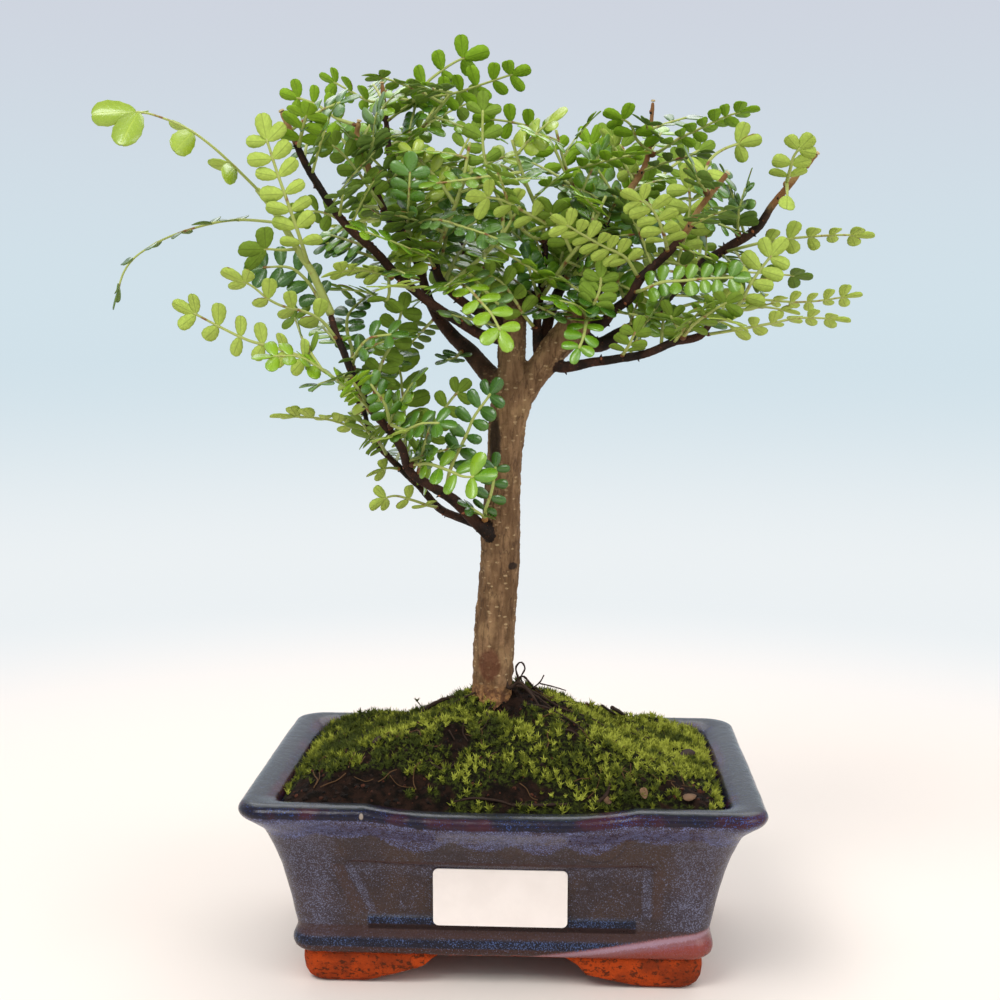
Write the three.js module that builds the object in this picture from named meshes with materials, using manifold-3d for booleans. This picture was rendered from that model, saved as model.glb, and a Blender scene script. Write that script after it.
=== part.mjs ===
// Japanese pepper bonsai growing in its glazed pot.
// Millimetres: X to the right, Y away from the front, Z up, the pot's feet on Z = 0.
import * as THREE from 'three';
import { mergeVertices } from 'three/addons/utils/BufferGeometryUtils.js';
import Module from 'manifold-3d';

const wasm = await Module();
wasm.setup();

// Pot: a rectangular bowl on four feet, with a rolled rim
const potWidth = 150;
const potDepth = 112;
const rimTop = 57.8;
const rimSag = 2.2;
const rimSagHalfWidth = 38;
const footHeight = 10.5;
const floorTop = 17;
const drainRadius = 7;
const panelRecess = 0.9;
const ledgeReach = 0.5;
const cornerSteps = 3;

// What lies in the pot
const seat = 0.3;
const meshSize = 26;
const meshThickness = 1;
const meshBars = 3;
const meshHole = 6.2;
const moundPeak = 79.5;
const moundEdge = 55;
const moundFall = 1.6;
const moundRoughness = 1.1;
const moundRadius = 50;
const moundRings = [0.84, 0.68, 0.52, 0.38, 0.25];
const trunkHoleRadius = 7.2;
const trunkHoleFloor = 61.7;

// Paper label on the front, left blank
const labelWidth = 38.6;
const labelHeight = 17.4;
const labelThickness = 0.4;
const labelCorner = 1.6;
const labelSeat = new THREE.Vector3(-0.35, -42.05, 28);
const labelTilt = THREE.MathUtils.degToRad(4.9);

// Leaves: thin blades with their leaflets cut to the rib
const bladeThickness = 0.62;
const ribHalfWidth = 0.5;
const leafletBase = 1.1;
const leafletAngle = THREE.MathUtils.degToRad(64);
const stalkShare = 0.26;
const leafletShare = 0.64;
const leafletGrowth = 1.2;
const leafletFold = THREE.MathUtils.degToRad(16);
const leafletLoosenessInRadians = 0.3;
const leafletSizes = [0.88, 1.04];
const budRadius = 1.5;
const budReach = 1.3;
const leafBaseReach = 0.25;

// A leaflet's outline from its base round to its base, along and across, as shares of its length
const leafletOutline = [[0.38, -0.31], [0.9, -0.26], [0.9, 0.26], [0.38, 0.31]];

// Where the front view is seen from, with its picture 1000 across and 1000 down.
// Places on the plant are written as across, down and depth: two pixels of that view, then
// millimetres behind the middle of the pot.
const viewFocalPixels = 1560;
const viewMiddle = 500;
const viewPoint = new THREE.Vector3(17.6, -474.3, 190.5);
const viewTurn = new THREE.Euler(
  THREE.MathUtils.degToRad(-6.28),
  THREE.MathUtils.degToRad(-0.32),
  THREE.MathUtils.degToRad(2.47),
  'ZXY',
);

/** The point at a depth that the front view shows at a place in its picture. */
function seen([across, down, depth]) {
  const sight = new THREE.Vector3(across - viewMiddle, viewFocalPixels, viewMiddle - down).applyEuler(viewTurn);
  return viewPoint.clone().addScaledVector(sight, (depth - viewPoint.y) / sight.y);
}

/** A repeatable stream of numbers from 0 to 1. */
function seeded(seed) {
  let state = seed;
  return () => {
    state = (state * 1664525 + 1013904223) % 4294967296;
    return state / 4294967296;
  };
}

/** A closed geometry as a solid that can be joined and cut. */
function solid(geometry) {
  const plain = geometry.clone();
  plain.deleteAttribute('normal');
  plain.deleteAttribute('uv');
  const merged = mergeVertices(plain, 1e-4);
  return new wasm.Manifold(new wasm.Mesh({
    numProp: 3,
    vertProperties: Float32Array.from(merged.attributes.position.array),
    triVerts: Uint32Array.from(merged.index.array),
  }));
}

/** A named mesh of a solid, in a material of its own. */
function piece(name, body, color, roughness, metalness = 0) {
  const shape = body.getMesh();
  const geometry = new THREE.BufferGeometry();
  geometry.setAttribute('position', new THREE.BufferAttribute(Float32Array.from(shape.vertProperties), 3));
  geometry.setIndex(new THREE.BufferAttribute(Uint32Array.from(shape.triVerts), 1));
  geometry.computeVertexNormals();
  const mesh = new THREE.Mesh(geometry, new THREE.MeshStandardMaterial({ color, roughness, metalness }));
  mesh.name = name;
  return mesh;
}

/** A closed solid through rings of equally many points, each end closed by a fan to its middle. */
function loft(rings) {
  const size = rings[0].length;
  const middle = (ring) => ring.reduce((sum, p) => sum.add(p), new THREE.Vector3()).divideScalar(size);
  const points = [...rings.flat(), middle(rings[0]), middle(rings[rings.length - 1])];
  const first = points.length - 2;
  const last = points.length - 1;
  const top = (rings.length - 1) * size;
  const index = [];
  for (let j = 0; j < size; j += 1) {
    const k = (j + 1) % size;
    for (let i = 0; i < top; i += size) {
      index.push(i + j, i + k, i + size + k, i + j, i + size + k, i + size + j);
    }
    index.push(first, k, j, last, top + j, top + k);
  }
  const geometry = new THREE.BufferGeometry().setFromPoints(points);
  geometry.setIndex(index);
  return geometry;
}

/** A round stem through places with a radius each, [across, down, depth, radius]. */
function stem(places, sides, stepsPerPlace) {
  const curve = new THREE.CatmullRomCurve3(places.map(seen), false, 'centripetal');
  const steps = (places.length - 1) * stepsPerPlace;
  const frames = curve.computeFrenetFrames(steps, false);
  const rings = [];
  for (let i = 0; i <= steps; i += 1) {
    const share = curve.getUtoTmapping(i / steps) * (places.length - 1);
    const before = Math.min(Math.floor(share), places.length - 2);
    const radius = THREE.MathUtils.lerp(places[before][3], places[before + 1][3], share - before);
    const centre = curve.getPointAt(i / steps);
    const ring = [];
    for (let j = 0; j < sides; j += 1) {
      const angle = (j / sides) * Math.PI * 2;
      ring.push(centre.clone()
        .addScaledVector(frames.normals[i], Math.cos(angle) * radius)
        .addScaledVector(frames.binormals[i], Math.sin(angle) * radius));
    }
    rings.push(ring);
  }
  return loft(rings);
}

/** A rounded rectangle's points, with the long sides split for a rim that sags between its corners. */
function potSection(inset, z, corner) {
  const halfWidth = potWidth / 2 - inset;
  const halfDepth = potDepth / 2 - inset;
  const points = [];
  const arc = (x, y, from) => {
    for (let i = 0; i <= cornerSteps; i += 1) {
      const angle = from + (i / cornerSteps) * (Math.PI / 2);
      points.push(new THREE.Vector3(x + corner * Math.cos(angle), y + corner * Math.sin(angle), z));
    }
  };
  const side = (y, direction) => {
    [-0.52, -0.2, 0.2, 0.52].forEach((share) => {
      points.push(new THREE.Vector3(direction * share * halfWidth, y, z));
    });
  };
  const x = halfWidth - corner;
  const y = halfDepth - corner;
  arc(x, y, 0);
  side(halfDepth, -1);
  arc(-x, y, Math.PI / 2);
  arc(-x, -y, Math.PI);
  side(-halfDepth, 1);
  arc(x, -y, Math.PI * 1.5);
  return points.map((point) => {
    const frontness = point.y < 0 ? 1 : 0.25;
    const middleness = Math.max(0, 1 - (point.x / rimSagHalfWidth) ** 4);
    const share = THREE.MathUtils.smoothstep(point.z, footHeight * 2, rimTop);
    point.z -= rimSag * frontness * middleness * share;
    return point;
  });
}

/** A prism along Y of an outline in X and Z. */
function prismAlongDepth(outline, from, to) {
  const shape = new THREE.Shape(outline.map(([x, z]) => new THREE.Vector2(x, z)));
  const geometry = new THREE.ExtrudeGeometry(shape, { depth: to - from, bevelEnabled: false });
  geometry.rotateX(Math.PI / 2);
  geometry.translate(0, to, 0);
  return solid(geometry);
}

// The pot's outside from its feet to its rim: inset from the rim's edge, height, corner radius
const outsideProfile = [
  [18, 0, 5], [17, 1.4, 5.5], [17, 10.6, 5.5], [15.6, 11.4, 6.5], [14.8, 13.2, 7], [14.8, 16, 7],
  [16.2, 18.2, 6.2], [15, 26.5, 6.5], [13.2, 35, 7], [11.2, 41, 7.5], [9, 45, 8], [6, 47.8, 8.5],
  [1.8, 50.2, 9], [0, 53, 9], [0.7, 56.2, 8.5], [3, 57.8, 7.5],
];
const insideProfile = [[22, floorTop, 3], [20.5, 22, 4], [15.5, 48, 5], [11.5, 54, 5.5], [10.8, 60, 6]];
const archOutline = [
  [-43, -1], [-42, 0], [-38, 1.6], [-34, 3.8], [-27, 5.4], [-22.5, 7], [-20, 9.2], [-18, footHeight],
  [18, footHeight], [20.5, 9.2], [24.5, 6.6], [28, 4.8], [34, 3.6], [41, 2.2], [46, 0], [47, -1],
];
const sideArchOutline = [[-27, -1], [-26, 0], [-20, 4.6], [-15, 6], [-12, footHeight], [12, footHeight], [15, 6],
  [20, 4.6], [26, 0], [27, -1]];
const panelOutline = [[-44.5, 38.6], [-40.2, 22.5], [41.4, 22.5], [43.4, 38.6]];
const ledgeOutline = [[-38.5, 19.8], [38.5, 19.8], [38.5, 22.8], [-38.5, 22.8]];

function makePot() {
  const outside = solid(loft(outsideProfile.map(([inset, z, corner]) => potSection(inset, z, corner))));
  const inside = solid(loft(insideProfile.map(([inset, z, corner]) => potSection(inset, z, corner))));
  const recessed = outside.translate([0, panelRecess, 0]).intersect(outside.translate([0, -panelRecess, 0]));
  const panel = prismAlongDepth(panelOutline, -potDepth / 2, potDepth / 2);
  const ledge = prismAlongDepth(ledgeOutline, -potDepth / 2, potDepth / 2);
  const proud = outside.translate([0, -ledgeReach, 0]).add(outside.translate([0, ledgeReach, 0]));
  const arch = prismAlongDepth(archOutline, -potDepth, potDepth);
  const sideArch = prismAlongDepth(sideArchOutline, -potWidth, potWidth).rotate([0, 0, 90]);
  const drain = solid(new THREE.CylinderGeometry(drainRadius, drainRadius, 30, 20).rotateX(Math.PI / 2));
  return outside
    .subtract(panel.subtract(recessed))
    .add(proud.intersect(ledge))
    .subtract(inside)
    .subtract(arch)
    .subtract(sideArch)
    .subtract(drain.translate([0, 0, floorTop - 5]));
}

function makeLabel() {
  const shape = new THREE.Shape();
  const x = labelWidth / 2;
  const z = labelHeight / 2;
  shape.absarc(x - labelCorner, z - labelCorner, labelCorner, 0, Math.PI / 2);
  shape.absarc(-x + labelCorner, z - labelCorner, labelCorner, Math.PI / 2, Math.PI);
  shape.absarc(-x + labelCorner, -z + labelCorner, labelCorner, Math.PI, Math.PI * 1.5);
  shape.absarc(x - labelCorner, -z + labelCorner, labelCorner, Math.PI * 1.5, Math.PI * 2);
  const geometry = new THREE.ExtrudeGeometry(shape, {
    depth: labelThickness, bevelEnabled: false, curveSegments: 3,
  });
  geometry.rotateX(Math.PI / 2);
  return geometry;
}

function makeDrainMesh() {
  const plate = solid(new THREE.BoxGeometry(meshSize, meshSize, meshThickness));
  const pitch = meshSize / meshBars;
  let holes = null;
  for (let i = 0; i < meshBars; i += 1) {
    for (let j = 0; j < meshBars; j += 1) {
      const hole = solid(new THREE.BoxGeometry(meshHole, meshHole, meshThickness * 3));
      const placed = hole.translate([(i + 0.5) * pitch - meshSize / 2, (j + 0.5) * pitch - meshSize / 2, 0]);
      holes = holes ? holes.add(placed) : placed;
    }
  }
  return plate.subtract(holes).translate([0, 0, floorTop + seat + meshThickness / 2]);
}

// The trunk and its limbs: across, down, depth, radius
const trunk = [
  [491, 743, 0, 6.6], [491, 708, 0, 6.6], [492, 690, 0, 6.3], [494, 640, 0, 6.4], [497, 600, 0, 6.2],
  [500, 560, 0, 6.2], [501, 520, 0, 6], [503, 480, 0, 5.5], [505, 450, 0, 5.5], [507, 425, 0, 5.8],
  [512, 400, 0, 6.3], [515, 384, 0, 5.6],
];
const limbs = {
  main: [[513, 398, 0, 5], [512, 368, 0, 4.5], [512, 340, 1, 4.4], [514, 315, 1, 3.9], [516, 300, 2, 3.5]],
  right: [[519, 396, 0, 4.6], [532, 378, -1, 4.2], [547, 359, -2, 4.2], [562, 340, -2, 4.6],
    [578, 322, -2, 4.7], [588, 311, -2, 3.9]],
  crossing: [[514, 306, 2, 2.6], [528, 298, 3, 2.2], [541, 292, 2, 1.8]],
  low: [[498, 541, -2, 3], [488, 533, -5, 2.7], [474, 520, -8, 2.4], [455, 501, -11, 2.3], [440, 491, -13, 2.1],
    [424, 482, -14, 1.9], [410, 472, -15, 1.8], [402, 449, -16, 1.8], [389, 430, -17, 1.7],
    [371, 409, -18, 1.7], [354, 378, -18, 1.6], [343, 350, -18, 1.5], [335, 331, -17, 1.4],
    [331, 316, -16, 1.4]],
  lowBehind: [[481, 526, -6, 1.8], [460, 518, -1, 1.8], [439, 508, 3, 1.7], [421, 488, 6, 1.6],
    [404, 472, 8, 1.5], [387, 455, 10, 1.4], [371, 438, 12, 1.3], [362, 407, 14, 1.1], [342, 389, 14, 0.9]],
  left: [[506, 341, 0, 2.4], [496, 338, -3, 2.3], [480, 334, -6, 2.2], [460, 322, -9, 2.1], [440, 310, -11, 2],
    [419, 294, -13, 1.9], [394, 272, -15, 1.8], [375, 251, -17, 1.8], [346, 225, -19, 1.7],
    [325, 196, -21, 1.6], [305, 163, -23, 1.5], [289, 127, -24, 1.3], [282, 112, -24, 1.2]],
  leftBehind: [[506, 389, 2, 4], [490, 375, 4, 3.3], [470, 352, 7, 3], [455, 338, 9, 2.7], [440, 320, 11, 2.4],
    [430, 302, 13, 2.1], [419, 267, 15, 1.9], [409, 240, 17, 1.7], [393, 183, 21, 1.5],
    [387, 130, 22, 1.3], [382, 84, 22, 1]],
  leftInner: [[508, 326, 0, 2.3], [490, 318, -1, 2.1], [470, 307, -2, 2], [451, 292, -3, 1.9], [439, 278, -3, 1.9],
    [432, 257, -3, 1.8], [409, 238, -3, 1.7], [392, 223, -3, 1.7], [377, 194, -3, 1.5], [367, 163, -4, 1.4],
    [357, 135, -4, 1.2], [359, 122, -5, 1]],
  rightLow: [[551, 364, -2, 2.6], [565, 367, -5, 2.3], [594, 362, -8, 1.9], [616, 359, -10, 1.8],
    [648, 353, -12, 1.7], [674, 342, -12, 1.7], [700, 336, -13, 1.6], [711, 323, -14, 1.3],
    [729, 314, -15, 1.2]],
  rightOuter: [[577, 333, -2, 3.2], [597, 345, 0, 2.8], [620, 334, 2, 2.6], [648, 319, 5, 2.3], [668, 297, 7, 2.1],
    [692, 271, 8, 2], [724, 250, 8, 2], [757, 228, 7, 1.9], [772, 206, 6, 1.6], [798, 173, 4, 1.4],
    [809, 150, 3, 1.2]],
  rightInner: [[586, 318, -2, 2.7], [600, 325, -5, 2.2], [614, 310, -7, 2], [631, 297, -9, 2], [640, 279, -10, 1.9],
    [668, 253, -12, 1.7], [687, 230, -14, 1.5], [700, 208, -16, 1.3], [727, 174, -18, 1.1]],
  upright: [[543, 342, 1, 2.3], [553, 305, 6, 2.3], [565, 280, 10, 2.2], [583, 253, 13, 2], [600, 230, 15, 1.8],
    [614, 210, 17, 1.6], [640, 175, 19, 1.4], [648, 156, 20, 1.2], [651, 125, 20, 1], [653, 102, 20, 0.9]],
  middle: [[538, 352, -1, 2.2], [537, 325, 0, 1.8], [541, 290, 0, 1.7], [544, 262, 0, 1.5], [546, 236, -1, 1.3]],
  backLeft: [[511, 338, 4, 2.2], [492, 300, 20, 2], [470, 262, 34, 1.7], [450, 225, 46, 1.4],
    [438, 196, 54, 1.1]],
  backRight: [[572, 328, 2, 2.4], [598, 292, 20, 2], [622, 255, 35, 1.7], [640, 222, 46, 1.4],
    [650, 190, 54, 1.1]],
};
const stub = [[806, 168, 4, 1.1], [812, 160, 3, 1], [817, 154, 2, 0.9]];

function makeWood() {
  let body = solid(stem(trunk, 12, 1));
  Object.values(limbs).forEach((places) => {
    body = body.add(solid(stem(places, places[0][3] > 3.5 ? 8 : 6, 1)));
  });
  return body.add(solid(stem(stub, 6, 1)));
}

// Balls along the wood, that end flush with its tips
const ballsPerPlace = 8;
const barkBalls = [trunk, ...Object.values(limbs)].flatMap((places) => {
  const curve = new THREE.CatmullRomCurve3(places.map(seen), false, 'centripetal');
  const tip = curve.getPointAt(1);
  const steps = (places.length - 1) * ballsPerPlace;
  return Array.from({ length: steps + 1 }, (_, i) => {
    const share = curve.getUtoTmapping(i / steps) * (places.length - 1);
    const before = Math.min(Math.floor(share), places.length - 2);
    const radius = THREE.MathUtils.lerp(places[before][3], places[before + 1][3], share - before);
    const centre = curve.getPointAt(i / steps);
    return { centre, radius: Math.min(radius, centre.distanceTo(tip)) };
  });
});

/** How far a point lies outside the bark. */
function clearOfBark(point) {
  return Math.min(...barkBalls.map(({ centre, radius }) => centre.distanceTo(point) - radius));
}

/** Where a spray starts: from a place in the wood towards its first leaf, until it rests on the bark. */
function budSeat(place, toward, radius) {
  const point = seen(place);
  const step = seen(toward).sub(point).setLength(0.1);
  while (clearOfBark(point) < radius + seat) {
    point.add(step);
  }
  return point;
}

/** A thin sheet with a thickness: its triangles on both faces, and walls where a triangle ends it. */
function blade(points, triangles) {
  const positions = points.flatMap(({ at, normal }) => [
    at.clone().addScaledVector(normal, bladeThickness / 2),
    at.clone().addScaledVector(normal, -bladeThickness / 2),
  ]);
  const sides = new Map();
  const index = [];
  triangles.forEach(([a, b, c]) => {
    index.push(2 * a, 2 * b, 2 * c, 2 * c + 1, 2 * b + 1, 2 * a + 1);
    [[a, b], [b, c], [c, a]].forEach(([from, to]) => {
      if (!sides.delete(`${to} ${from}`)) {
        sides.set(`${from} ${to}`, [from, to]);
      }
    });
  });
  sides.forEach(([from, to]) => {
    index.push(2 * from, 2 * from + 1, 2 * to + 1, 2 * from, 2 * to + 1, 2 * to);
  });
  const geometry = new THREE.BufferGeometry().setFromPoints(positions);
  geometry.setIndex(index);
  return geometry;
}

/**
 * A leaf: a rib along a route, pairs of leaflets, and one more at the tip.
 * Its upper side faces an angle from straight up, turned to the front, or to the back if negative.
 */
function frond(route, { pairs, leaflet, face }, random) {
  const curve = new THREE.CatmullRomCurve3(route, false, 'centripetal');
  const length = curve.getLength();
  const facing = THREE.MathUtils.degToRad(face);
  const outlook = new THREE.Vector3(0, -Math.sin(facing), Math.cos(facing));
  const points = [];
  const triangles = [];
  const frameAt = (distance) => {
    const share = THREE.MathUtils.clamp(distance / length, 0, 1);
    const along = curve.getTangentAt(share);
    const normal = outlook.clone().addScaledVector(along, -outlook.dot(along)).normalize();
    return { at: curve.getPointAt(share), along, normal, left: normal.clone().cross(along) };
  };
  const ribAt = (distance) => {
    const { at, normal, left } = frameAt(distance);
    points.push({ at: at.clone().addScaledVector(left, ribHalfWidth), normal });
    points.push({ at: at.clone().addScaledVector(left, -ribHalfWidth), normal });
    return points.length - 2;
  };
  const addLeaflet = (base, direction, normal, size, start, end) => {
    const across = normal.clone().cross(direction);
    const ring = leafletOutline.map(([u, v]) => {
      const at = base.clone().addScaledVector(direction, u * size).addScaledVector(across, v * size);
      return points.push({ at, normal }) - 1;
    });
    const [backLow, backHigh, frontHigh, frontLow] = ring;
    triangles.push([start, backLow, end], [end, backLow, frontLow]);
    triangles.push([backLow, backHigh, frontLow], [backHigh, frontHigh, frontLow]);
  };
  const joinRib = (from, to) => {
    triangles.push([from, from + 1, to + 1], [from, to + 1, to]);
  };

  const size = leaflet * leafletGrowth;
  const ribLength = length - size;
  let previous = ribAt(0);
  const shown = Math.max(pairs ? 1 : 0, Math.round(pairs * leafletShare));
  for (let i = 0; i < shown; i += 1) {
    const share = shown > 1 ? i / (shown - 1) : 1;
    const distance = THREE.MathUtils.lerp(ribLength * stalkShare, ribLength - leafletBase, share);
    const start = ribAt(distance - leafletBase / 2);
    const end = ribAt(distance + leafletBase / 2);
    joinRib(previous, start);
    joinRib(start, end);
    [1, -1].forEach((side) => {
      const { at, along, normal, left } = frameAt(distance);
      const fold = leafletFold * (random() * 2 - 0.8);
      const outward = left.clone().multiplyScalar(side * Math.cos(fold)).addScaledVector(normal, Math.sin(fold));
      const lean = leafletAngle + (random() - 0.5) * leafletLoosenessInRadians;
      const direction = along.clone().multiplyScalar(Math.cos(lean)).addScaledVector(outward, Math.sin(lean));
      const up = normal.clone().addScaledVector(outward, -normal.dot(outward));
      up.addScaledVector(direction, -up.dot(direction)).normalize();
      const base = at.clone().addScaledVector(left, side * ribHalfWidth);
      const grown = size * THREE.MathUtils.lerp(...leafletSizes, random());
      if (side > 0) {
        addLeaflet(base, direction, up, grown, end, start);
      } else {
        addLeaflet(base, direction, up, grown, start + 1, end + 1);
      }
    });
    previous = end;
  }
  const tip = ribAt(ribLength);
  joinRib(previous, tip);
  const { at, along, normal } = frameAt(ribLength);
  addLeaflet(at, along, normal, size, tip + 1, tip);
  return blade(points, triangles);
}

// The leaves: each spray grows from one bud on the bark, some on a green shoot of the year.
// A leaf runs from its bud, or from a place on the spray, through its places to its tip.
// Places: across, down, depth, and for a shoot its radius. Leaflet lengths in mm, faces in degrees.
const sprays = {
  left_shoot: {
    tint: 'young',
    bud: [331, 316, -16],
    shoot: [[331, 314, -16, 1.3], [319, 287, -17, 1.2], [311, 270, -18, 1.1], [303, 258, -19, 1.1],
      [295, 245, -20, 1], [283, 225, -21, 1], [270, 205, -22, 0.9], [257, 189, -23, 0.8]],
    leaves: [
      { from: [259, 191, -23], pairs: 4, leaflet: 10, face: 15,
        to: [[240, 172, -27], [213, 146, -33], [188, 130, -37], [160, 115, -40], [128, 108, -42], [93, 112, -43]] },
      { from: [281, 223, -21], pairs: 5, leaflet: 6.2, face: 10,
        to: [[249, 220, -17], [224, 221, -14], [179, 233, -11], [151, 246, -11], [127, 266, -13], [113, 310, -17]] },
      { from: [309, 267, -18], pairs: 5, leaflet: 7.6, face: -80,
        to: [[300, 238, -26], [291, 214, -29], [285, 196, -31], [278, 176, -32], [270, 148, -33], [281, 113, -33]] },
      { from: [297, 249, -20], pairs: 1, leaflet: 8.5, face: -60,
        to: [[282, 250, -26], [265, 249, -30], [237, 250, -33]] },
      { pairs: 4, leaflet: 6.3, face: 55,
        to: [[319, 299, -12], [308, 282, -11], [291, 268, -11], [270, 267, -10], [243, 270, -9]] },
    ],
  },
  left_yellow: {
    tint: 'young',
    bud: [340, 343, -18],
    leaves: [{ pairs: 4, leaflet: 8, face: -25,
      to: [[321, 320, -21], [303, 311, -23], [285, 307, -25], [268, 299, -27], [252, 286, -29], [221, 271, -32]] }],
  },
  left_middle: {
    tint: 'mid',
    bud: [378, 418, -17],
    leaves: [
      { pairs: 5, leaflet: 6.5, face: 50,
        to: [[358, 397, -25], [339, 381, -29], [319, 368, -32], [300, 357, -34], [251, 358, -37]] },
      { from: [327, 373, -30.5], pairs: 5, leaflet: 7.6, face: -75,
        to: [[304, 358, -26], [288, 352, -23], [266, 345, -21], [250, 341, -20], [226, 330, -19], [173, 302, -19]] },
      { from: [322, 370, -31.5], pairs: 2, leaflet: 7.5, face: -70,
        to: [[310, 352, -26], [303, 340, -18], [298, 327, -8], [291, 306, 0]] },
    ],
  },
  left_low: {
    tint: 'young',
    bud: [370, 437, 12],
    leaves: [{ pairs: 4, leaflet: 7, face: -20,
      to: [[351, 427, 10], [335, 421, 8], [307, 417, 5], [269, 417, 2]] }],
  },
  left_under: {
    tint: 'young',
    bud: [401, 469, 8],
    leaves: [{ pairs: 1, leaflet: 5.5, face: -60, to: [[388, 468, 4], [366, 475, 1]] }],
  },
  left_tail: {
    tint: 'young',
    bud: [440, 508, 3],
    leaves: [{ pairs: 3, leaflet: 5.5, face: -55,
      to: [[427, 505, -3], [412, 500, -7], [392, 496, -10], [370, 508, -13]] }],
  },
  fork_bright: {
    tint: 'mid',
    bud: [408, 465, -15],
    leaves: [
      { pairs: 3, leaflet: 8, face: 60,
        to: [[429, 464, -23], [450, 471, -28], [466, 477, -32], [497, 472, -36]] },
      { pairs: 4, leaflet: 6, face: -65,
        to: [[422, 450, -10], [432, 428, -7], [443, 411, -5], [455, 395, -3], [470, 380, -1]] },
    ],
  },
  fork_tall: {
    tint: 'young',
    bud: [407, 476, 8],
    leaves: [{ pairs: 4, leaflet: 7.8, face: -80,
      to: [[406, 455, 5], [405, 431, 5], [404, 407, 7], [402, 390, 9], [400, 372, 11], [386, 350, 13]] }],
  },
  fork_dark: {
    tint: 'dark',
    bud: [446, 489, -12],
    leaves: [{ pairs: 5, leaflet: 7.4, face: 60,
      to: [[450, 470, -15], [456, 456, -16], [466, 436, -17], [474, 417, -18], [484, 403, -19], [502, 378, -21]] }],
  },
  trunk_sprig: {
    tint: 'dark',
    bud: [484, 529, -5],
    leaves: [
      { pairs: 3, leaflet: 5, face: 50, to: [[486, 508, -13], [492, 490, -14], [497, 452, -14]] },
      { pairs: 1, leaflet: 5, face: 20, to: [[478, 512, -14], [458, 500, -16]] },
    ],
  },
  low_dark: {
    tint: 'dark',
    bud: [393, 435, -17],
    leaves: [
      { pairs: 3, leaflet: 6, face: 50, to: [[385, 405, -24], [375, 390, -27], [360, 372, -30]] },
      { pairs: 3, leaflet: 5.5, face: 50, to: [[405, 430, -24], [420, 424, -28], [436, 423, -30], [456, 426, -32]] },
    ],
  },
  low_edge: {
    tint: 'mid',
    bud: [353, 376, -18],
    leaves: [
      { pairs: 4, leaflet: 5.5, face: 5,
        to: [[352, 350, -11], [347, 330, -6], [350, 312, 0], [378, 288, 5]] },
      { pairs: 2, leaflet: 6.8, face: 50, to: [[357, 352, -24], [368, 339, -26], [408, 333, -30]] },
    ],
  },
  low_under: {
    tint: 'young',
    bud: [372, 410, -18],
    leaves: [{ pairs: 3, leaflet: 7.2, face: -78,
      to: [[376, 385, -12], [383, 360, -9], [392, 343, -7], [407, 292, -5]] }],
  },
  left_rows: {
    tint: 'young',
    bud: [401, 281, -14],
    leaves: [
      { pairs: 3, leaflet: 8, face: -20, to: [[383, 274, -19], [360, 270, -22], [338, 272, -25], [320, 276, -27]] },
      { pairs: 4, leaflet: 7.5, face: -20, to: [[388, 299, -17], [366, 292, -9], [329, 288, 2]] },
    ],
  },
  behind_edge: {
    tint: 'mid',
    bud: [437, 316, 11],
    leaves: [{ pairs: 3, leaflet: 5.5, face: -15, to: [[425, 328, 18], [412, 342, 23], [398, 358, 28]] }],
  },
  behind_low: {
    tint: 'dark',
    bud: [464, 349, 7],
    leaves: [{ pairs: 2, leaflet: 5, face: 20, to: [[455, 358, 0], [447, 360, -4], [436, 366, -7]] }],
  },
  left_upper: {
    tint: 'young',
    bud: [346, 225, -19],
    leaves: [{ pairs: 3, leaflet: 6.5, face: -50, to: [[338, 219, -13], [325, 213, -11], [308, 212, -9], [290, 224, -7]] }],
  },
  inner_tip: {
    tint: 'mid',
    bud: [358, 126, -5],
    leaves: [{ pairs: 4, leaflet: 6.5, face: -10, to: [[336, 118, -3], [317, 105, -2], [279, 92, 0]] }],
  },
  inner_glossy: {
    tint: 'dark',
    bud: [367, 164, -4],
    leaves: [{ pairs: 4, leaflet: 6.3, face: 75, to: [[373, 140, -13], [376, 118, -16], [383, 92, -19]] }],
  },
  inner_edge: {
    tint: 'mid',
    bud: [386, 212, -3],
    leaves: [{ pairs: 4, leaflet: 6, face: 5,
      to: [[374, 195, -9], [358, 172, -10], [344, 155, -11], [317, 133, -13]] }],
  },
  inner_wide: {
    tint: 'mid',
    bud: [433, 259, -3],
    leaves: [{ pairs: 4, leaflet: 8, face: 35,
      to: [[417, 252, -18], [398, 244, -24], [372, 234, -29], [346, 225, -33]] }],
  },
  inner_pair: {
    tint: 'dark',
    bud: [407, 237, -3],
    leaves: [
      { pairs: 4, leaflet: 6.5, face: 55, to: [[408, 217, -14], [409, 190, -19], [411, 152, -21]] },
      { pairs: 4, leaflet: 7.2, face: 45,
        to: [[420, 221, -13], [440, 220, -17], [460, 226, -20], [485, 234, -23], [515, 247, -26]] },
    ],
  },
  top_left: {
    tint: 'mid',
    bud: [383, 92, 22],
    leaves: [
      { pairs: 5, leaflet: 7.3, face: -40, to: [[405, 100, 17], [430, 97, 12], [455, 93, 8], [486, 83, 4], [531, 68, 0]] },
      { pairs: 4, leaflet: 7.5, face: -50, to: [[398, 97, 26], [415, 88, 29], [430, 75, 31], [488, 48, 34]] },
      { pairs: 2, leaflet: 8, face: -35, to: [[372, 102, 12], [352, 92, 14], [320, 74, 18]] },
    ],
  },
  top_behind: {
    tint: 'young',
    bud: [389, 150, 22],
    leaves: [{ pairs: 4, leaflet: 7.5, face: -40, to: [[405, 137, 29], [432, 121, 34], [455, 109, 38], [490, 94, 42]] }],
  },
  top_middle: {
    tint: 'young',
    bud: [546, 242, -1],
    leaves: [
      { pairs: 5, leaflet: 8, face: -65,
        to: [[530, 236, -6], [505, 210, -9], [495, 190, -11], [484, 155, -12], [483, 90, -14]] },
      { pairs: 4, leaflet: 8.5, face: 30,
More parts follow.
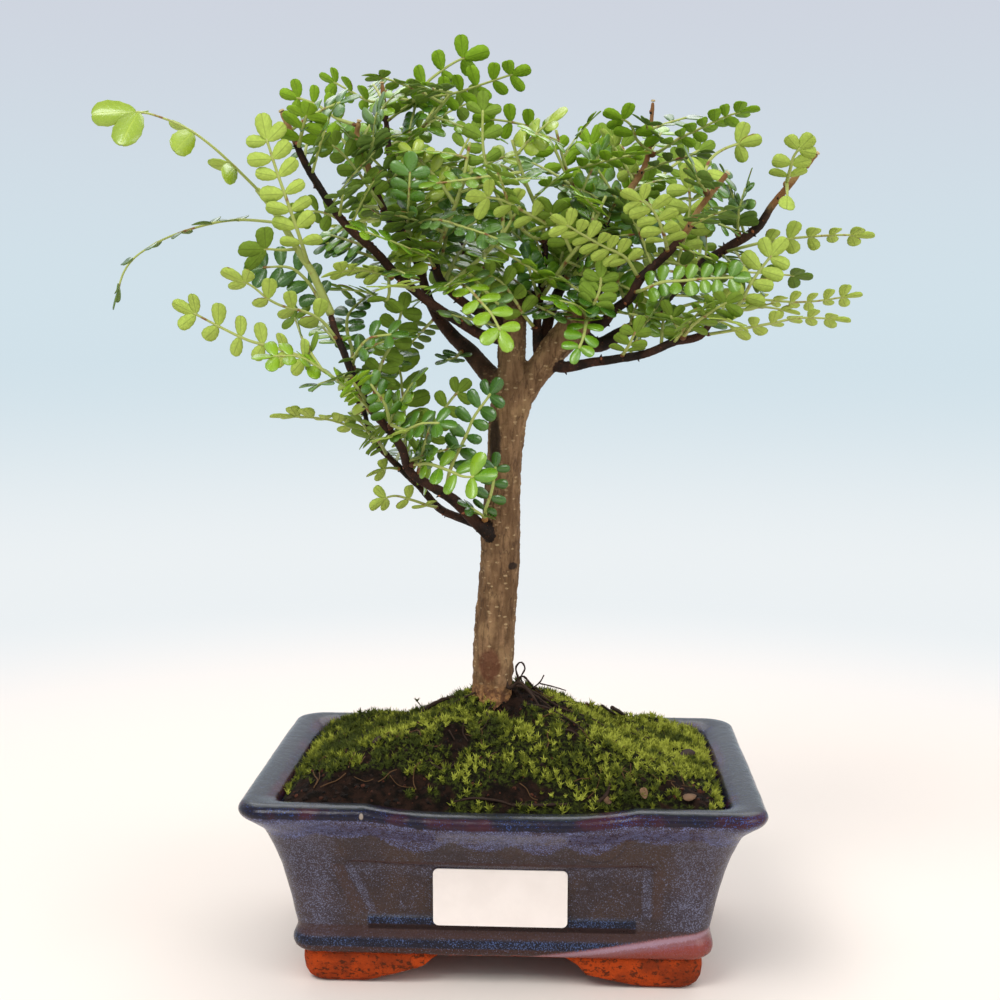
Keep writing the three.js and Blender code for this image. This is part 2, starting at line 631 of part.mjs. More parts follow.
        to: [[549, 227, -12], [536, 218, -18], [519, 209, -22], [502, 200, -26], [466, 195, -31]] },
    ],
  },
  centre_glossy: {
    tint: 'mid',
    bud: [446, 287, -3],
    leaves: [{ pairs: 4, leaflet: 8.5, face: 65,
      to: [[457, 283, -17], [468, 288, -23], [480, 301, -27], [492, 315, -30], [509, 350, -34]] }],
  },
  right_fork: {
    tint: 'mid',
    bud: [589, 314, -2],
    leaves: [
      { pairs: 3, leaflet: 6.3, face: 60, to: [[586, 323, -14], [583, 338, -18], [572, 364, -22]] },
      { pairs: 2, leaflet: 7.5, face: 40, to: [[578, 306, -14], [541, 297, -20]] },
      { pairs: 3, leaflet: 6.5, face: -75, to: [[595, 302, -14], [600, 288, -14], [601, 258, -13]] },
    ],
  },
  right_row: {
    tint: 'dark',
    bud: [633, 293, -9],
    leaves: [{ pairs: 4, leaflet: 6.8, face: 70,
      to: [[645, 289, -17], [662, 282, -20], [680, 281, -22], [700, 279, -24], [750, 277, -29]] }],
  },
  right_yellow: {
    tint: 'young',
    bud: [640, 280, -10],
    leaves: [{ pairs: 4, leaflet: 6, face: 40,
      to: [[625, 257, -17], [605, 247, -20], [585, 236, -23], [551, 215, -28]] }],
  },
  right_lime: {
    tint: 'young',
    bud: [668, 253, -12],
    leaves: [{ pairs: 3, leaflet: 8, face: 20, to: [[664, 235, -21], [657, 217, -25], [648, 205, -28], [622, 192, -32]] }],
  },
  right_tip: {
    tint: 'mid',
    bud: [709, 196, -16],
    leaves: [
      { pairs: 3, leaflet: 7, face: 60, to: [[700, 182, -24], [694, 168, -27], [684, 146, -30]] },
      { pairs: 3, leaflet: 7.8, face: -30, to: [[704, 178, -10], [710, 160, -7], [724, 149, -5], [760, 138, -3]] },
    ],
  },
  outer_yellow: {
    tint: 'young',
    bud: [680, 284, 8],
    leaves: [{ pairs: 4, leaflet: 7.2, face: -80,
      to: [[677, 268, 1], [681, 250, -2], [687, 230, -4], [690, 203, -5], [686, 163, -7]] }],
  },
  outer_low: {
    tint: 'young',
    bud: [657, 314, 6],
    leaves: [{ pairs: 6, leaflet: 7.2, face: -20,
      to: [[681, 307, 8], [700, 302, 9], [748, 299, 10], [804, 302, 10], [863, 294, 10]] }],
  },
  outer_long: {
    tint: 'young',
    bud: [722, 253, 8],
    leaves: [{ pairs: 5, leaflet: 7.4, face: -20,
      to: [[740, 248, 2], [765, 242, 0], [795, 238, -1], [840, 235, -3], [875, 236, -4]] }],
  },
  outer_under: {
    tint: 'mid',
    bud: [696, 269, 8],
    leaves: [{ pairs: 3, leaflet: 6.8, face: -80, to: [[700, 250, 16], [698, 232, 18], [694, 205, 21]] }],
  },
  outer_glossy: {
    tint: 'dark',
    bud: [738, 241, 8],
    leaves: [
      { pairs: 3, leaflet: 7.5, face: 60, to: [[738, 218, 2], [742, 200, 1], [752, 168, -1]] },
      { pairs: 2, leaflet: 7.5, face: 75, to: [[724, 226, -5], [708, 220, -8], [692, 219, -9]] },
    ],
  },
  outer_tip: {
    tint: 'young',
    bud: [785, 189, 5],
    leaves: [
      { pairs: 4, leaflet: 5, face: -50, to: [[788, 170, -3], [795, 152, -6], [808, 140, -8], [828, 134, -10]] },
      { pairs: 0, leaflet: 5, face: -80, to: [[787, 199, -4], [784, 213, -6]] },
    ],
  },
  low_right_tip: {
    tint: 'young',
    bud: [728, 315, -15],
    leaves: [
      { pairs: 3, leaflet: 7.5, face: -78,
        to: [[742, 300, -17], [750, 285, -18], [760, 270, -18], [786, 238, -19]] },
      { pairs: 2, leaflet: 6.5, face: -20, to: [[748, 310, -11], [762, 307, -8], [800, 313, -5]] },
    ],
  },
  low_right_long: {
    tint: 'young',
    bud: [704, 335, -13],
    leaves: [{ pairs: 4, leaflet: 7, face: -15,
      to: [[735, 330, -18], [768, 324, -20], [800, 318, -21], [851, 320, -22]] }],
  },
  low_right_middle: {
    tint: 'mid',
    bud: [680, 341, -12],
    leaves: [
      { pairs: 3, leaflet: 6.3, face: -60, to: [[693, 325, -22], [708, 314, -29], [722, 305, -34], [742, 293, -38]] },
      { pairs: 1, leaflet: 6, face: -40, to: [[674, 322, -17], [664, 300, -20]] },
    ],
  },
  low_right_first: {
    tint: 'dark',
    bud: [620, 359, -10],
    leaves: [{ pairs: 2, leaflet: 6, face: -30, to: [[629, 345, -17], [635, 332, -19], [642, 316, -21]] }],
  },
  upright_left: {
    tint: 'dark',
    bud: [614, 210, 17],
    leaves: [{ pairs: 3, leaflet: 7.6, face: 50, to: [[600, 200, 9], [585, 192, 5], [568, 187, 2], [545, 180, 0]] }],
  },
  upright_right: {
    tint: 'dark',
    bud: [622, 198, 18],
    leaves: [{ pairs: 2, leaflet: 7.6, face: 55, to: [[629, 218, 8], [640, 229, 4], [661, 238, 1]] }],
  },
  upright_top: {
    tint: 'mid',
    bud: [648, 157, 20],
    leaves: [
      { pairs: 5, leaflet: 7, face: -15,
        to: [[662, 150, 16], [678, 139, 13], [697, 130, 11], [730, 115, 7], [760, 108, 5]] },
      { pairs: 2, leaflet: 7.8, face: -35, to: [[637, 140, 13], [630, 124, 9], [604, 112, 5]] },
    ],
  },
  upright_back: {
    tint: 'mid',
    bud: [639, 177, 19],
    leaves: [{ pairs: 3, leaflet: 7.8, face: -50, to: [[620, 168, 26], [600, 157, 29], [580, 128, 34]] }],
  },
  upright_row: {
    tint: 'young',
    bud: [592, 241, 14],
    leaves: [{ pairs: 5, leaflet: 7.5, face: -60,
      to: [[578, 206, 19], [562, 165, 19], [545, 135, 18], [520, 124, 17], [472, 117, 16]] }],
  },
  middle_dark: {
    tint: 'dark',
    bud: [540, 300, 0],
    leaves: [{ pairs: 3, leaflet: 7, face: 45, to: [[534, 284, -5], [528, 264, -6], [525, 243, -6]] }],
  },
  upright_inner: {
    tint: 'mid',
    bud: [566, 279, 10],
    leaves: [
      { pairs: 2, leaflet: 7.5, face: 50, to: [[572, 268, 1], [583, 258, -4], [603, 246, -9]] },
      { pairs: 2, leaflet: 6, face: -60, to: [[561, 263, 5], [563, 250, 4], [566, 235, 3]] },
    ],
  },
  crotch: {
    tint: 'young',
    bud: [536, 330, 0],
    leaves: [{ pairs: 3, leaflet: 7, face: -35, to: [[522, 312, -8], [511, 294, -9], [500, 281, -9], [468, 268, -9]] }],
  },
  centre_back: {
    tint: 'mid',
    bud: [505, 313, 3],
    leaves: [{ pairs: 2, leaflet: 8.5, face: -80, to: [[494, 292, 9], [484, 272, 12], [487, 243, 15]] }],
  },
  upper_middle: {
    tint: 'dark',
    bud: [437, 272, -3],
    leaves: [{ pairs: 3, leaflet: 7.5, face: 60, to: [[444, 247, 6], [450, 220, 9], [460, 195, 10], [472, 160, 11]] }],
  },
  back_left_tip: {
    tint: 'mid',
    bud: [438, 198, 54],
    leaves: [
      { pairs: 3, leaflet: 7.5, face: -100, to: [[425, 170, 60], [410, 150, 63], [385, 130, 65]] },
      { pairs: 3, leaflet: 7.5, face: -100, to: [[452, 170, 60], [465, 145, 63], [480, 118, 65]] },
      { pairs: 3, leaflet: 7.5, face: -60, to: [[420, 200, 60], [395, 205, 63], [358, 215, 65]] },
    ],
  },
  back_left_low: {
    tint: 'dark',
    bud: [470, 262, 34],
    leaves: [
      { pairs: 3, leaflet: 7.5, face: -60, to: [[468, 265, 42], [450, 268, 46], [425, 264, 50], [390, 257, 54]] },
      { pairs: 3, leaflet: 7.5, face: -80, to: [[478, 258, 43], [492, 243, 46], [505, 225, 50], [515, 198, 54]] },
    ],
  },
  back_right_tip: {
    tint: 'mid',
    bud: [650, 192, 54],
    leaves: [
      { pairs: 3, leaflet: 7.5, face: -100, to: [[668, 170, 60], [690, 155, 63], [715, 143, 65]] },
      { pairs: 3, leaflet: 7.5, face: -100, to: [[635, 165, 60], [620, 145, 63], [598, 125, 65]] },
      { pairs: 3, leaflet: 7.5, face: -60, to: [[664, 212, 60], [685, 222, 63], [712, 234, 65]] },
    ],
  },
  back_right_low: {
    tint: 'dark',
    bud: [622, 255, 35],
    leaves: [
      { pairs: 4, leaflet: 7.5, face: -30,
        to: [[624, 262, 43], [650, 268, 46], [690, 273, 49], [740, 272, 52], [812, 277, 55]] },
      { pairs: 3, leaflet: 7.5, face: -80, to: [[608, 246, 45], [598, 236, 47], [580, 220, 51], [560, 193, 55]] },
    ],
  },
};
const tints = { young: 0xa9b84a, mid: 0x6f9438, dark: 0x456f2c };

/** A single leaf, or leaves from one bud or one green shoot, in one solid. */
function makeSpray({ bud, shoot, leaves }, random) {
  if (leaves.length === 1) {
    const [leaf] = leaves;
    const start = budSeat(bud, leaf.to[0], leafBaseReach);
    return solid(frond([start, ...leaf.to.map(seen)], leaf, random));
  }
  const start = budSeat(bud, shoot ? shoot[1] : leaves[0].to[0], budReach);
  const knob = new THREE.OctahedronGeometry(budRadius);
  let body = solid(knob.translate(start.x, start.y, start.z));
  if (shoot) {
    body = body.add(solid(stem(shoot, 6, 1)));
  }
  leaves.forEach((leaf) => {
    const root = leaf.from ? seen(leaf.from) : start;
    body = body.add(solid(frond([root, ...leaf.to.map(seen)], leaf, random)));
  });
  return body;
}

/** Soil filled up to a mound round the trunk, with a plain hole for the trunk's foot. */
function makeSoil() {
  const random = seeded(7);
  const within = insideProfile.slice(1, -1);
  const [floorInset, , floorCorner] = insideProfile[0];
  const [edgeInset, , edgeCorner] = within[within.length - 1];
  const edge = potSection(edgeInset + seat, moundEdge, edgeCorner);
  const rings = [
    potSection(floorInset + seat, floorTop + seat, floorCorner),
    ...within.map(([inset, z, corner]) => potSection(inset + seat, z, corner)),
    edge,
  ];
  const centre = seen(trunk[1]);
  moundRings.forEach((share) => {
    rings.push(edge.map((point) => {
      const outward = new THREE.Vector3(point.x - centre.x, point.y - centre.y, 0);
      const round = outward.clone().setLength(moundRadius);
      const reach = round.lerp(outward, share).multiplyScalar(share);
      const bump = (random() * 2 - 1) * moundRoughness;
      const rise = (moundPeak - point.z) * (1 - share ** moundFall);
      return new THREE.Vector3(centre.x + reach.x, centre.y + reach.y, point.z + rise + bump);
    }));
  });
  const hole = new THREE.CylinderGeometry(trunkHoleRadius, trunkHoleRadius, 60, 20).rotateX(Math.PI / 2);
  const pocket = solid(new THREE.BoxGeometry(meshSize + 2 * seat, meshSize + 2 * seat, 2 * (meshThickness + 2 * seat)));
  return solid(loft(rings))
    .subtract(solid(hole).translate([centre.x, centre.y, trunkHoleFloor + 30]))
    .subtract(pocket.translate([0, 0, floorTop]));
}

const bonsai = new THREE.Group();
bonsai.add(piece('pot', makePot(), 0x4c5566, 0.3));
bonsai.add(piece('drain_mesh', makeDrainMesh(), 0x3a3d3a, 0.6));
bonsai.add(piece('soil', makeSoil(), 0x4a3a22, 0.95));
bonsai.add(piece('wood', makeWood(), 0x6b4f38, 0.8));

const label = new THREE.Mesh(
  makeLabel(),
  new THREE.MeshStandardMaterial({ color: 0xf1ece6, roughness: 0.7, metalness: 0 }),
);
label.name = 'label';
label.position.copy(labelSeat);
label.rotation.x = labelTilt;
bonsai.add(label);

const random = seeded(41);
Object.entries(sprays).forEach(([name, spray]) => {
  bonsai.add(piece(`leaves_${name}`, makeSpray(spray, random), tints[spray.tint], 0.5));
});

// The whole plant stands with its middle over the origin, so the pot is a little off it.
const middle = new THREE.Box3().setFromObject(bonsai, true).getCenter(new THREE.Vector3());
bonsai.position.set(-middle.x, -middle.y, 0);

export default bonsai;
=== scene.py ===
import random
from bisect import bisect_right
from collections import namedtuple
from math import cos, exp, pi, radians, sin, tau

import bmesh
import bpy
from bpy.props import FloatProperty, FloatVectorProperty, IntProperty, PointerProperty
from bpy.types import Operator, Panel, PropertyGroup
from mathutils import Matrix, Vector, kdtree
from mathutils.bvhtree import BVHTree
from mathutils.noise import noise


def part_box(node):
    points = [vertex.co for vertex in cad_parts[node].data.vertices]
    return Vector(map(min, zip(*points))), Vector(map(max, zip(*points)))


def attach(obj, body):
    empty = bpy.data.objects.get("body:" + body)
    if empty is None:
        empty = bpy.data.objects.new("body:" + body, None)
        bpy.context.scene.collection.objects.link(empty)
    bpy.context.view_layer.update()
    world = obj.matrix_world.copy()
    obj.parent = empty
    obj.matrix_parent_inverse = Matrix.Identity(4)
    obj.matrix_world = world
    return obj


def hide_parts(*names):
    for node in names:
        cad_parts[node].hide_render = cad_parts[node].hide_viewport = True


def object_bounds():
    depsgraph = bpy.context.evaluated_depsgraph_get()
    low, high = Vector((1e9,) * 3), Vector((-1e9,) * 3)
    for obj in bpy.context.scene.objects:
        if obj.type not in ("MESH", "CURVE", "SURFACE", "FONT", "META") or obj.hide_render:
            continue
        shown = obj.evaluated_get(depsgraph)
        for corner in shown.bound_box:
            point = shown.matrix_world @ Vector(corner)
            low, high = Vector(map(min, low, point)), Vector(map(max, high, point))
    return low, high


bl_info = {
    "name": "Japanese Pepper Bonsai",
    "version": (1, 0, 0),
    "blender": (4, 5, 0),
    "location": "3D View > Sidebar > Bonsai",
    "description": "Dresses the frame of a potted japanese pepper tree",
    "category": "Object",
}

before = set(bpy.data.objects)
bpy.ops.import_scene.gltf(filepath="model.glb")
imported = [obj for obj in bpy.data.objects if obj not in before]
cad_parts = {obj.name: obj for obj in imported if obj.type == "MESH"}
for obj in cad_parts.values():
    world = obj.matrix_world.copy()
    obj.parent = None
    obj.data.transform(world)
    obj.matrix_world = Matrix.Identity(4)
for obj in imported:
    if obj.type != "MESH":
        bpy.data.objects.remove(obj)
cad_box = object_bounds()

# Shapes below are in millimetres round the middle of the pot, as in the part's source.
MM = 0.001
POT_LOW, POT_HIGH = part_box("pot")
POT_MIDDLE = Vector(((POT_LOW.x + POT_HIGH.x) / 2, (POT_LOW.y + POT_HIGH.y) / 2, 0))
INTO_FRAME = Matrix.Translation(POT_MIDDLE) @ Matrix.Scale(MM, 4)

# The front view: its camera, and the places on the plant written as across, down and depth,
# which are two pixels of that view and then millimetres behind the middle of the pot.
VIEW_PIXELS = 1000
VIEW_FOCAL = 1560
VIEW_POINT = Vector((17.6, -474.3, 190.5))
VIEW_TURN = (
    Matrix.Rotation(radians(2.47), 3, "Z")
    @ Matrix.Rotation(radians(-6.28), 3, "X")
    @ Matrix.Rotation(radians(-0.32), 3, "Y")
)
SENSOR = 36
CAMERA_DISTANCE = 0.474

# How far from the pot, in metres, the floor cools and then turns into the plain backdrop.
FLOOR_COOLS = 0.25, 0.9
FLOOR_FADES = 0.26, 0.62


def seen(place):
    """The point at a depth that the front view shows at a place in its picture."""
    across, down, depth = place[:3]
    half = VIEW_PIXELS / 2
    sight = VIEW_TURN @ Vector((across - half, VIEW_FOCAL, half - down))
    return VIEW_POINT + sight * ((depth - VIEW_POINT.y) / sight.y)


def points(line):
    """The places or outline points of a written line, each a few numbers."""
    return [tuple(float(number) for number in place.split()) for place in line.split(",")]


# A leaf: its pairs of leaflets, their length and where its upper side faces, both either one number or two
# from its base to its tip, its route, start and tint, how much of its rib is bare, and its leaflets' width.
# They may be folded up, the tip may face another way, and the way that it faces may be carried along its rib.
leaf = namedtuple("leaf", "pairs size face line start tint bare width fold tip carried",
                  defaults=(None, None, None, 0.24, 1.0, None, None, False))

TRUNK = points(
    "491 743 0 6.6, 491 708 0 6.6, 492 690 0 6.3, 494 640 0 6.4, 497 600 0 6.2, 500 560 0 6.2, 501 520 0 6, "
    "503 480 0 5.5, 505 450 0 5.5, 507 425 0 5.8, 512 400 0 6.3, 515 384 0 5.6")
LIMBS = {name: points(line) for name, line in {
    "main": "513 398 0 5, 512 368 0 4.5, 512 340 1 4.4, 514 315 1 3.9, 516 300 2 3.5",
    "right": "519 396 0 4.6, 532 378 -1 4.2, 547 359 -2 4.2, 562 340 -2 4.6, 578 322 -2 4.7, 588 311 -2 3.9",
    "crossing": "514 306 2 2.6, 528 298 3 2.2, 541 292 2 1.8",
    "low": "498 541 -2 3, 488 533 -5 2.7, 474 520 -8 2.4, 455 501 -11 2.3, 440 491 -13 2.1, 424 482 -14 1.9, "
        "410 472 -15 1.8, 402 449 -16 1.8, 389 430 -17 1.7, 371 409 -18 1.7, 354 378 -18 1.6, 343 350 -18 1.5, "
        "335 331 -17 1.4, 331 316 -16 1.4",
    "low_behind": "481 526 -6 1.8, 460 518 -1 1.8, 439 508 3 1.7, 421 488 6 1.6, 404 472 8 1.5, 387 455 10 1.4, "
        "371 438 12 1.3, 362 407 14 1.1, 342 389 14 0.9",
    "left": "506 341 0 2.4, 496 338 -3 2.3, 480 334 -6 2.2, 460 322 -9 2.1, 440 310 -11 2, 419 294 -13 1.9, "
        "394 272 -15 1.8, 375 251 -17 1.8, 346 225 -19 1.7, 325 196 -21 1.6, 305 163 -23 1.5, 289 127 -24 1.3, "
        "282 112 -24 1.2",
    "left_behind": "506 389 2 4, 490 375 4 3.3, 470 352 7 3, 455 338 9 2.7, 440 320 11 2.4, 430 302 13 2.1, "
        "419 267 15 1.9, 409 240 17 1.7, 393 183 21 1.5, 387 130 22 1.3, 382 84 22 1",
    "left_inner": "508 326 0 2.3, 490 318 -1 2.1, 470 307 -2 2, 451 292 -3 1.9, 439 278 -3 1.9, 432 257 -3 1.8, "
        "409 238 -3 1.7, 392 223 -3 1.7, 377 194 -3 1.5, 367 163 -4 1.4, 357 135 -4 1.2, 359 122 -5 1",
    "right_low": "551 364 -2 2.6, 565 367 -5 2.3, 594 362 -8 1.9, 616 359 -10 1.8, 648 353 -12 1.7, 674 342 -12 1.7, "
        "700 336 -13 1.6, 711 323 -14 1.3, 729 314 -15 1.2",
    "right_outer": "577 333 -2 3.2, 597 345 0 2.8, 620 334 2 2.6, 648 319 5 2.3, 668 297 7 2.1, 692 271 8 2, "
        "724 250 8 2, 757 228 7 1.9, 772 206 6 1.6, 798 173 4 1.4, 809 150 3 1.2",
    "right_inner": "586 318 -2 2.7, 600 325 -5 2.2, 614 310 -7 2, 631 297 -9 2, 640 279 -10 1.9, 668 253 -12 1.7, "
        "687 230 -14 1.5, 700 208 -16 1.3, 727 174 -18 1.1",
    "upright": "543 342 1 2.3, 553 305 6 2.3, 565 280 10 2.2, 583 253 13 2, 600 230 15 1.8, 614 210 17 1.6, "
        "640 175 19 1.4, 648 156 20 1.2, 651 125 20 1, 653 102 20 0.9",
    "middle": "538 352 -1 2.2, 537 325 0 1.8, 541 290 0 1.7, 544 262 0 1.5, 546 236 -1 1.3",
    "back_left": "511 338 4 2.2, 492 300 20 2, 470 262 34 1.7, 450 225 46 1.4, 438 196 54 1.1",
    "back_right": "572 328 2 2.4, 598 292 20 2, 622 255 35 1.7, 640 222 46 1.4, 650 190 54 1.1",
    "stub": "806 168 4 1.1, 812 160 3 1, 817 154 2 0.9",
}.items()}
SPRAYS = {
    "left_shoot": ("young", (331, 316, -16),
        points("331 314 -16 1.3, 319 287 -17 1.2, 311 270 -18 1.1, 303 258 -19 1.1, 295 245 -20 1, 283 225 -21 1, "
            "270 205 -22 0.9, 257 189 -23 0.8"),
        leaf(3, (8, 12), (22, 30), "240 172 -27, 213 147 -33, 188 129 -37, 160 117 -40, 138 112 -42, 92 119 -43",
            start=(259, 191, -23), fold=-26, tip=66),
        leaf(6, 6.4, 14, "249 220 -17, 224 221 -14, 179 233 -11, 151 246 -11, 127 266 -13, 113 310 -17",
            start=(281, 223, -21), tint="gloss", carried=True, width=0.85),
        leaf(7, (6.4, 7.0), -75, "300 238 -26, 291 212 -29, 284 192 -31, 277 172 -32, 270 150 -33, 266 136 -33, "
            "266 113 -33", start=(309, 267, -18)),
        leaf(1, 7.4, -60, "282 250 -26, 265 249 -30, 237 250 -33", start=(297, 249, -20), tint="mid"),
        leaf(5, 6.2, 66, "319 299 -12, 308 282 -11, 291 268 -11, 270 267 -10, 243 270 -9", tint="dark")),
    "left_yellow": ("young", (340, 343, -18),
        leaf(4, 6.8, -38, "321 320 -21, 303 311 -23, 285 307 -25, 268 299 -27, 252 286 -29, 221 271 -32")),
    "left_middle": ("mid", (378, 418, -17),
        leaf(7, 6.2, 24, "358 397 -25, 339 381 -29, 319 368 -32, 300 357 -34, 251 358 -37", tint="bright"),
        leaf(6, (5.8, 6.8), -72, "304 358 -26, 288 352 -23, 266 345 -21, 250 341 -20, 226 330 -19, 173 302 -19",
            start=(327, 373, -30.5), tint="young", bare=0.2),
        leaf(3, 5.8, -70, "310 352 -26, 303 340 -18, 298 327 -8, 291 306 0", start=(322, 370, -31.5))),
    "left_low": ("young", (370, 437, 12),
        leaf(5, (5.4, 8), -16, "351 427 10, 335 421 8, 307 417 5, 269 417 2")),
    "left_under": ("young", (401, 469, 8),
        leaf(1, 5.4, -32, "388 468 4, 366 475 1")),
    "left_tail": ("young", (440, 508, 3),
        leaf(3, 4.9, -55, "427 505 -3, 412 500 -7, 392 496 -10, 370 508 -13")),
    "fork_bright": ("mid", (408, 465, -15),
        leaf(4, (4.8, 7.4), 62, "429 464 -23, 450 471 -28, 466 477 -32, 497 472 -36", tint="bright"),
        leaf(5, 5, -65, "422 450 -10, 432 428 -7, 443 411 -5, 455 395 -3, 470 380 -1")),
    "fork_tall": ("young", (407, 476, 8),
        leaf(4, 7.6, -80, "406 455 5, 405 431 5, 404 407 7, 402 390 9, 400 372 11, 386 350 13", tint="mid", bare=0.5)),
    "fork_dark": ("dark", (446, 489, -12),
        leaf(6, 5.8, 60, "450 470 -15, 456 456 -16, 466 436 -17, 474 417 -18, 484 403 -19, 502 378 -21")),
    "trunk_sprig": ("dark", (484, 529, -5),
        leaf(4, 4.4, 50, "486 508 -13, 492 490 -14, 497 452 -14"),
        leaf(2, 4.4, 20, "478 512 -14, 458 500 -16")),
    "low_dark": ("dark", (393, 435, -17),
        leaf(4, 4.8, 50, "385 405 -24, 375 390 -27, 360 372 -30"),
        leaf(4, 5.2, 50, "405 430 -24, 420 424 -28, 436 423 -30, 456 426 -32")),
    "low_edge": ("mid", (353, 376, -18),
        leaf(7, 5.2, 12, "352 350 -11, 347 330 -6, 350 312 0, 378 288 5", tint="dark"),
        leaf(4, 5.2, 45, "357 352 -24, 368 339 -26, 408 333 -30", tint="dark")),
    "low_under": ("young", (372, 410, -18),
        leaf(6, 5.6, -78, "376 385 -12, 383 360 -9, 392 343 -7, 407 292 -5", tint="mid", width=1.15)),
    "left_rows": ("young", (401, 281, -14),
        leaf(5, 5.8, -25, "383 274 -19, 360 270 -22, 338 272 -25, 320 276 -27"),
        leaf(5, 5.5, -22, "388 299 -17, 366 292 -9, 329 288 2", tint="mid")),
    "behind_edge": ("mid", (437, 316, 11),
        leaf(5, 4.8, -15, "425 328 18, 412 342 23, 398 358 28", tint="gloss")),
    "behind_low": ("dark", (464, 349, 7),
        leaf(3, 4.5, 20, "455 358 0, 447 360 -4, 436 366 -7")),
    "left_upper": ("young", (346, 225, -19),
        leaf(4, 5.2, -50, "338 219 -13, 325 213 -11, 308 212 -9, 290 224 -7", tint="mid")),
    "inner_tip": ("mid", (358, 126, -5),
        leaf(4, 5.8, -58, "336 118 -3, 317 105 -2, 279 92 0", tint="bright")),
    "inner_glossy": ("dark", (367, 164, -4),
        leaf(6, 6.2, 30, "373 140 -13, 376 118 -16, 383 92 -19", tint="gloss")),
    "inner_edge": ("mid", (386, 212, -3),
        leaf(5, 5.4, -55, "374 195 -9, 358 172 -10, 344 155 -11, 317 133 -13")),
    "inner_wide": ("mid", (433, 259, -3),
        leaf(7, 5.8, 26, "417 252 -18, 398 244 -24, 372 234 -29, 346 225 -33", tint="bright")),
    "inner_pair": ("dark", (407, 237, -3),
        leaf(6, 5.6, 42, "408 217 -14, 409 190 -19, 411 152 -21"),
        leaf(8, 5.8, 28, "420 221 -13, 440 220 -17, 460 226 -20, 485 234 -23, 515 247 -26", tint="gloss")),
    "top_left": ("mid", (383, 92, 22),
        leaf(7, 5.9, -42, "405 100 17, 430 97 12, 455 93 8, 486 83 4, 531 68 0", tint="bright"),
        leaf(4, (5.6, 7.6), -55, "400 95 26, 417 92 29, 432 78 31, 459 60 33, 488 51 34", tint="bright"),
        leaf(4, 5.6, -38, "372 102 12, 352 92 14, 320 74 18", tint="bright")),
    "top_behind": ("young", (389, 150, 22),
        leaf(6, 5.8, -45, "405 137 29, 432 121 34, 455 109 38, 490 94 42", tint="mid")),
    "top_middle": ("young", (546, 242, -1),
        leaf(6, 5.6, -68, "530 236 -6, 505 210 -9, 495 190 -11, 484 155 -12, 483 90 -14", tint="mid"),
        leaf(4, 6.1, -62, "549 227 -12, 536 218 -18, 519 209 -22, 502 200 -26, 466 195 -31", bare=0.3)),
    "centre_glossy": ("mid", (446, 287, -3),
        leaf(6, 6.3, 46, "457 283 -17, 468 288 -23, 480 301 -27, 492 315 -30, 509 350 -34", tint="bright")),
    "right_fork": ("mid", (589, 314, -2),
        leaf(4, 5.3, 56, "586 323 -14, 583 338 -18, 572 364 -22", tint="bright"),
        leaf(4, 6, 26, "578 306 -14, 541 297 -20", tint="bright"),
        leaf(5, 5.6, -75, "595 302 -14, 600 288 -14, 601 258 -13")),
    "right_row": ("dark", (633, 293, -9),
        leaf(7, 4.8, 66, "645 289 -17, 662 282 -20, 680 281 -22, 700 279 -24, 750 277 -29", tint="mid", width=1.25)),
    "right_yellow": ("young", (640, 280, -10),
        leaf(7, 5.6, (-25, -50), "625 257 -17, 605 247 -20, 585 236 -23, 551 215 -28")),
    "right_lime": ("young", (668, 253, -12),
        leaf(5, 6, -38, "664 235 -21, 657 217 -25, 648 205 -28, 622 192 -32")),
    "right_tip": ("mid", (709, 196, -16),
        leaf(4, 6, 28, "700 182 -24, 694 168 -27, 684 146 -30", tint="gloss"),
        leaf(2, 6.2, -52, "704 178 -10, 710 160 -7, 724 149 -5, 760 138 -3", tint="young", bare=0.45)),
    "outer_yellow": ("young", (680, 284, 8),
        leaf(5, (5.6, 7.2), (-78, -35), "677 268 1, 681 250 -2, 687 230 -4, 690 203 -5, 686 163 -7")),
    "outer_low": ("young", (657, 314, 6),
        leaf(9, 5.6, -26, "681 307 8, 700 302 9, 748 299 10, 804 302 10, 863 294 10")),
    "outer_long": ("young", (722, 253, 8),
        leaf(5, 6, -32, "740 248 2, 765 242 0, 795 238 -1, 840 235 -3, 875 236 -4", bare=0.36)),
    "outer_under": ("mid", (696, 269, 8),
        leaf(4, 5.4, -80, "700 250 16, 698 232 18, 694 205 21")),
    "outer_glossy": ("dark", (738, 241, 8),
        leaf(6, 6, 12, "738 218 2, 742 200 1, 752 168 -1", tint="gloss", width=0.8),
        leaf(4, 5.2, 45, "724 226 -5, 708 220 -8, 692 219 -9")),
    "outer_tip": ("young", (785, 189, 5),
        leaf(3, 5.4, -78, "790 170 -3, 794 156 -6, 802 146 -8, 815 136 -10", width=1.25),
        leaf(0, 5.8, -80, "787 199 -4, 784 213 -6", width=1.3)),
    "low_right_tip": ("young", (728, 315, -15),
        leaf(4, 6.3, -76, "742 300 -17, 750 285 -18, 760 270 -18, 786 238 -19"),
        leaf(3, 5.2, -20, "748 310 -11, 762 307 -8, 800 313 -5")),
    "low_right_long": ("young", (704, 335, -13),
        leaf(6, 5.8, -20, "735 330 -18, 768 324 -20, 800 318 -21, 851 320 -22")),
    "low_right_middle": ("mid", (680, 341, -12),
        leaf(5, 5.3, -60, "693 325 -22, 708 314 -29, 722 305 -34, 742 293 -38"),
        leaf(2, 5.2, -40, "674 322 -17, 664 300 -20")),
    "low_right_first": ("dark", (620, 359, -10),
        leaf(3, 5.2, -30, "629 345 -17, 635 332 -19, 642 316 -21", tint="mid")),
    "upright_left": ("dark", (614, 210, 17),
        leaf(6, 5.6, 30, "600 200 9, 585 192 5, 568 187 2, 545 180 0", tint="gloss")),
    "upright_right": ("dark", (622, 198, 18),
        leaf(4, 5.6, 35, "629 218 8, 640 229 4, 661 238 1")),
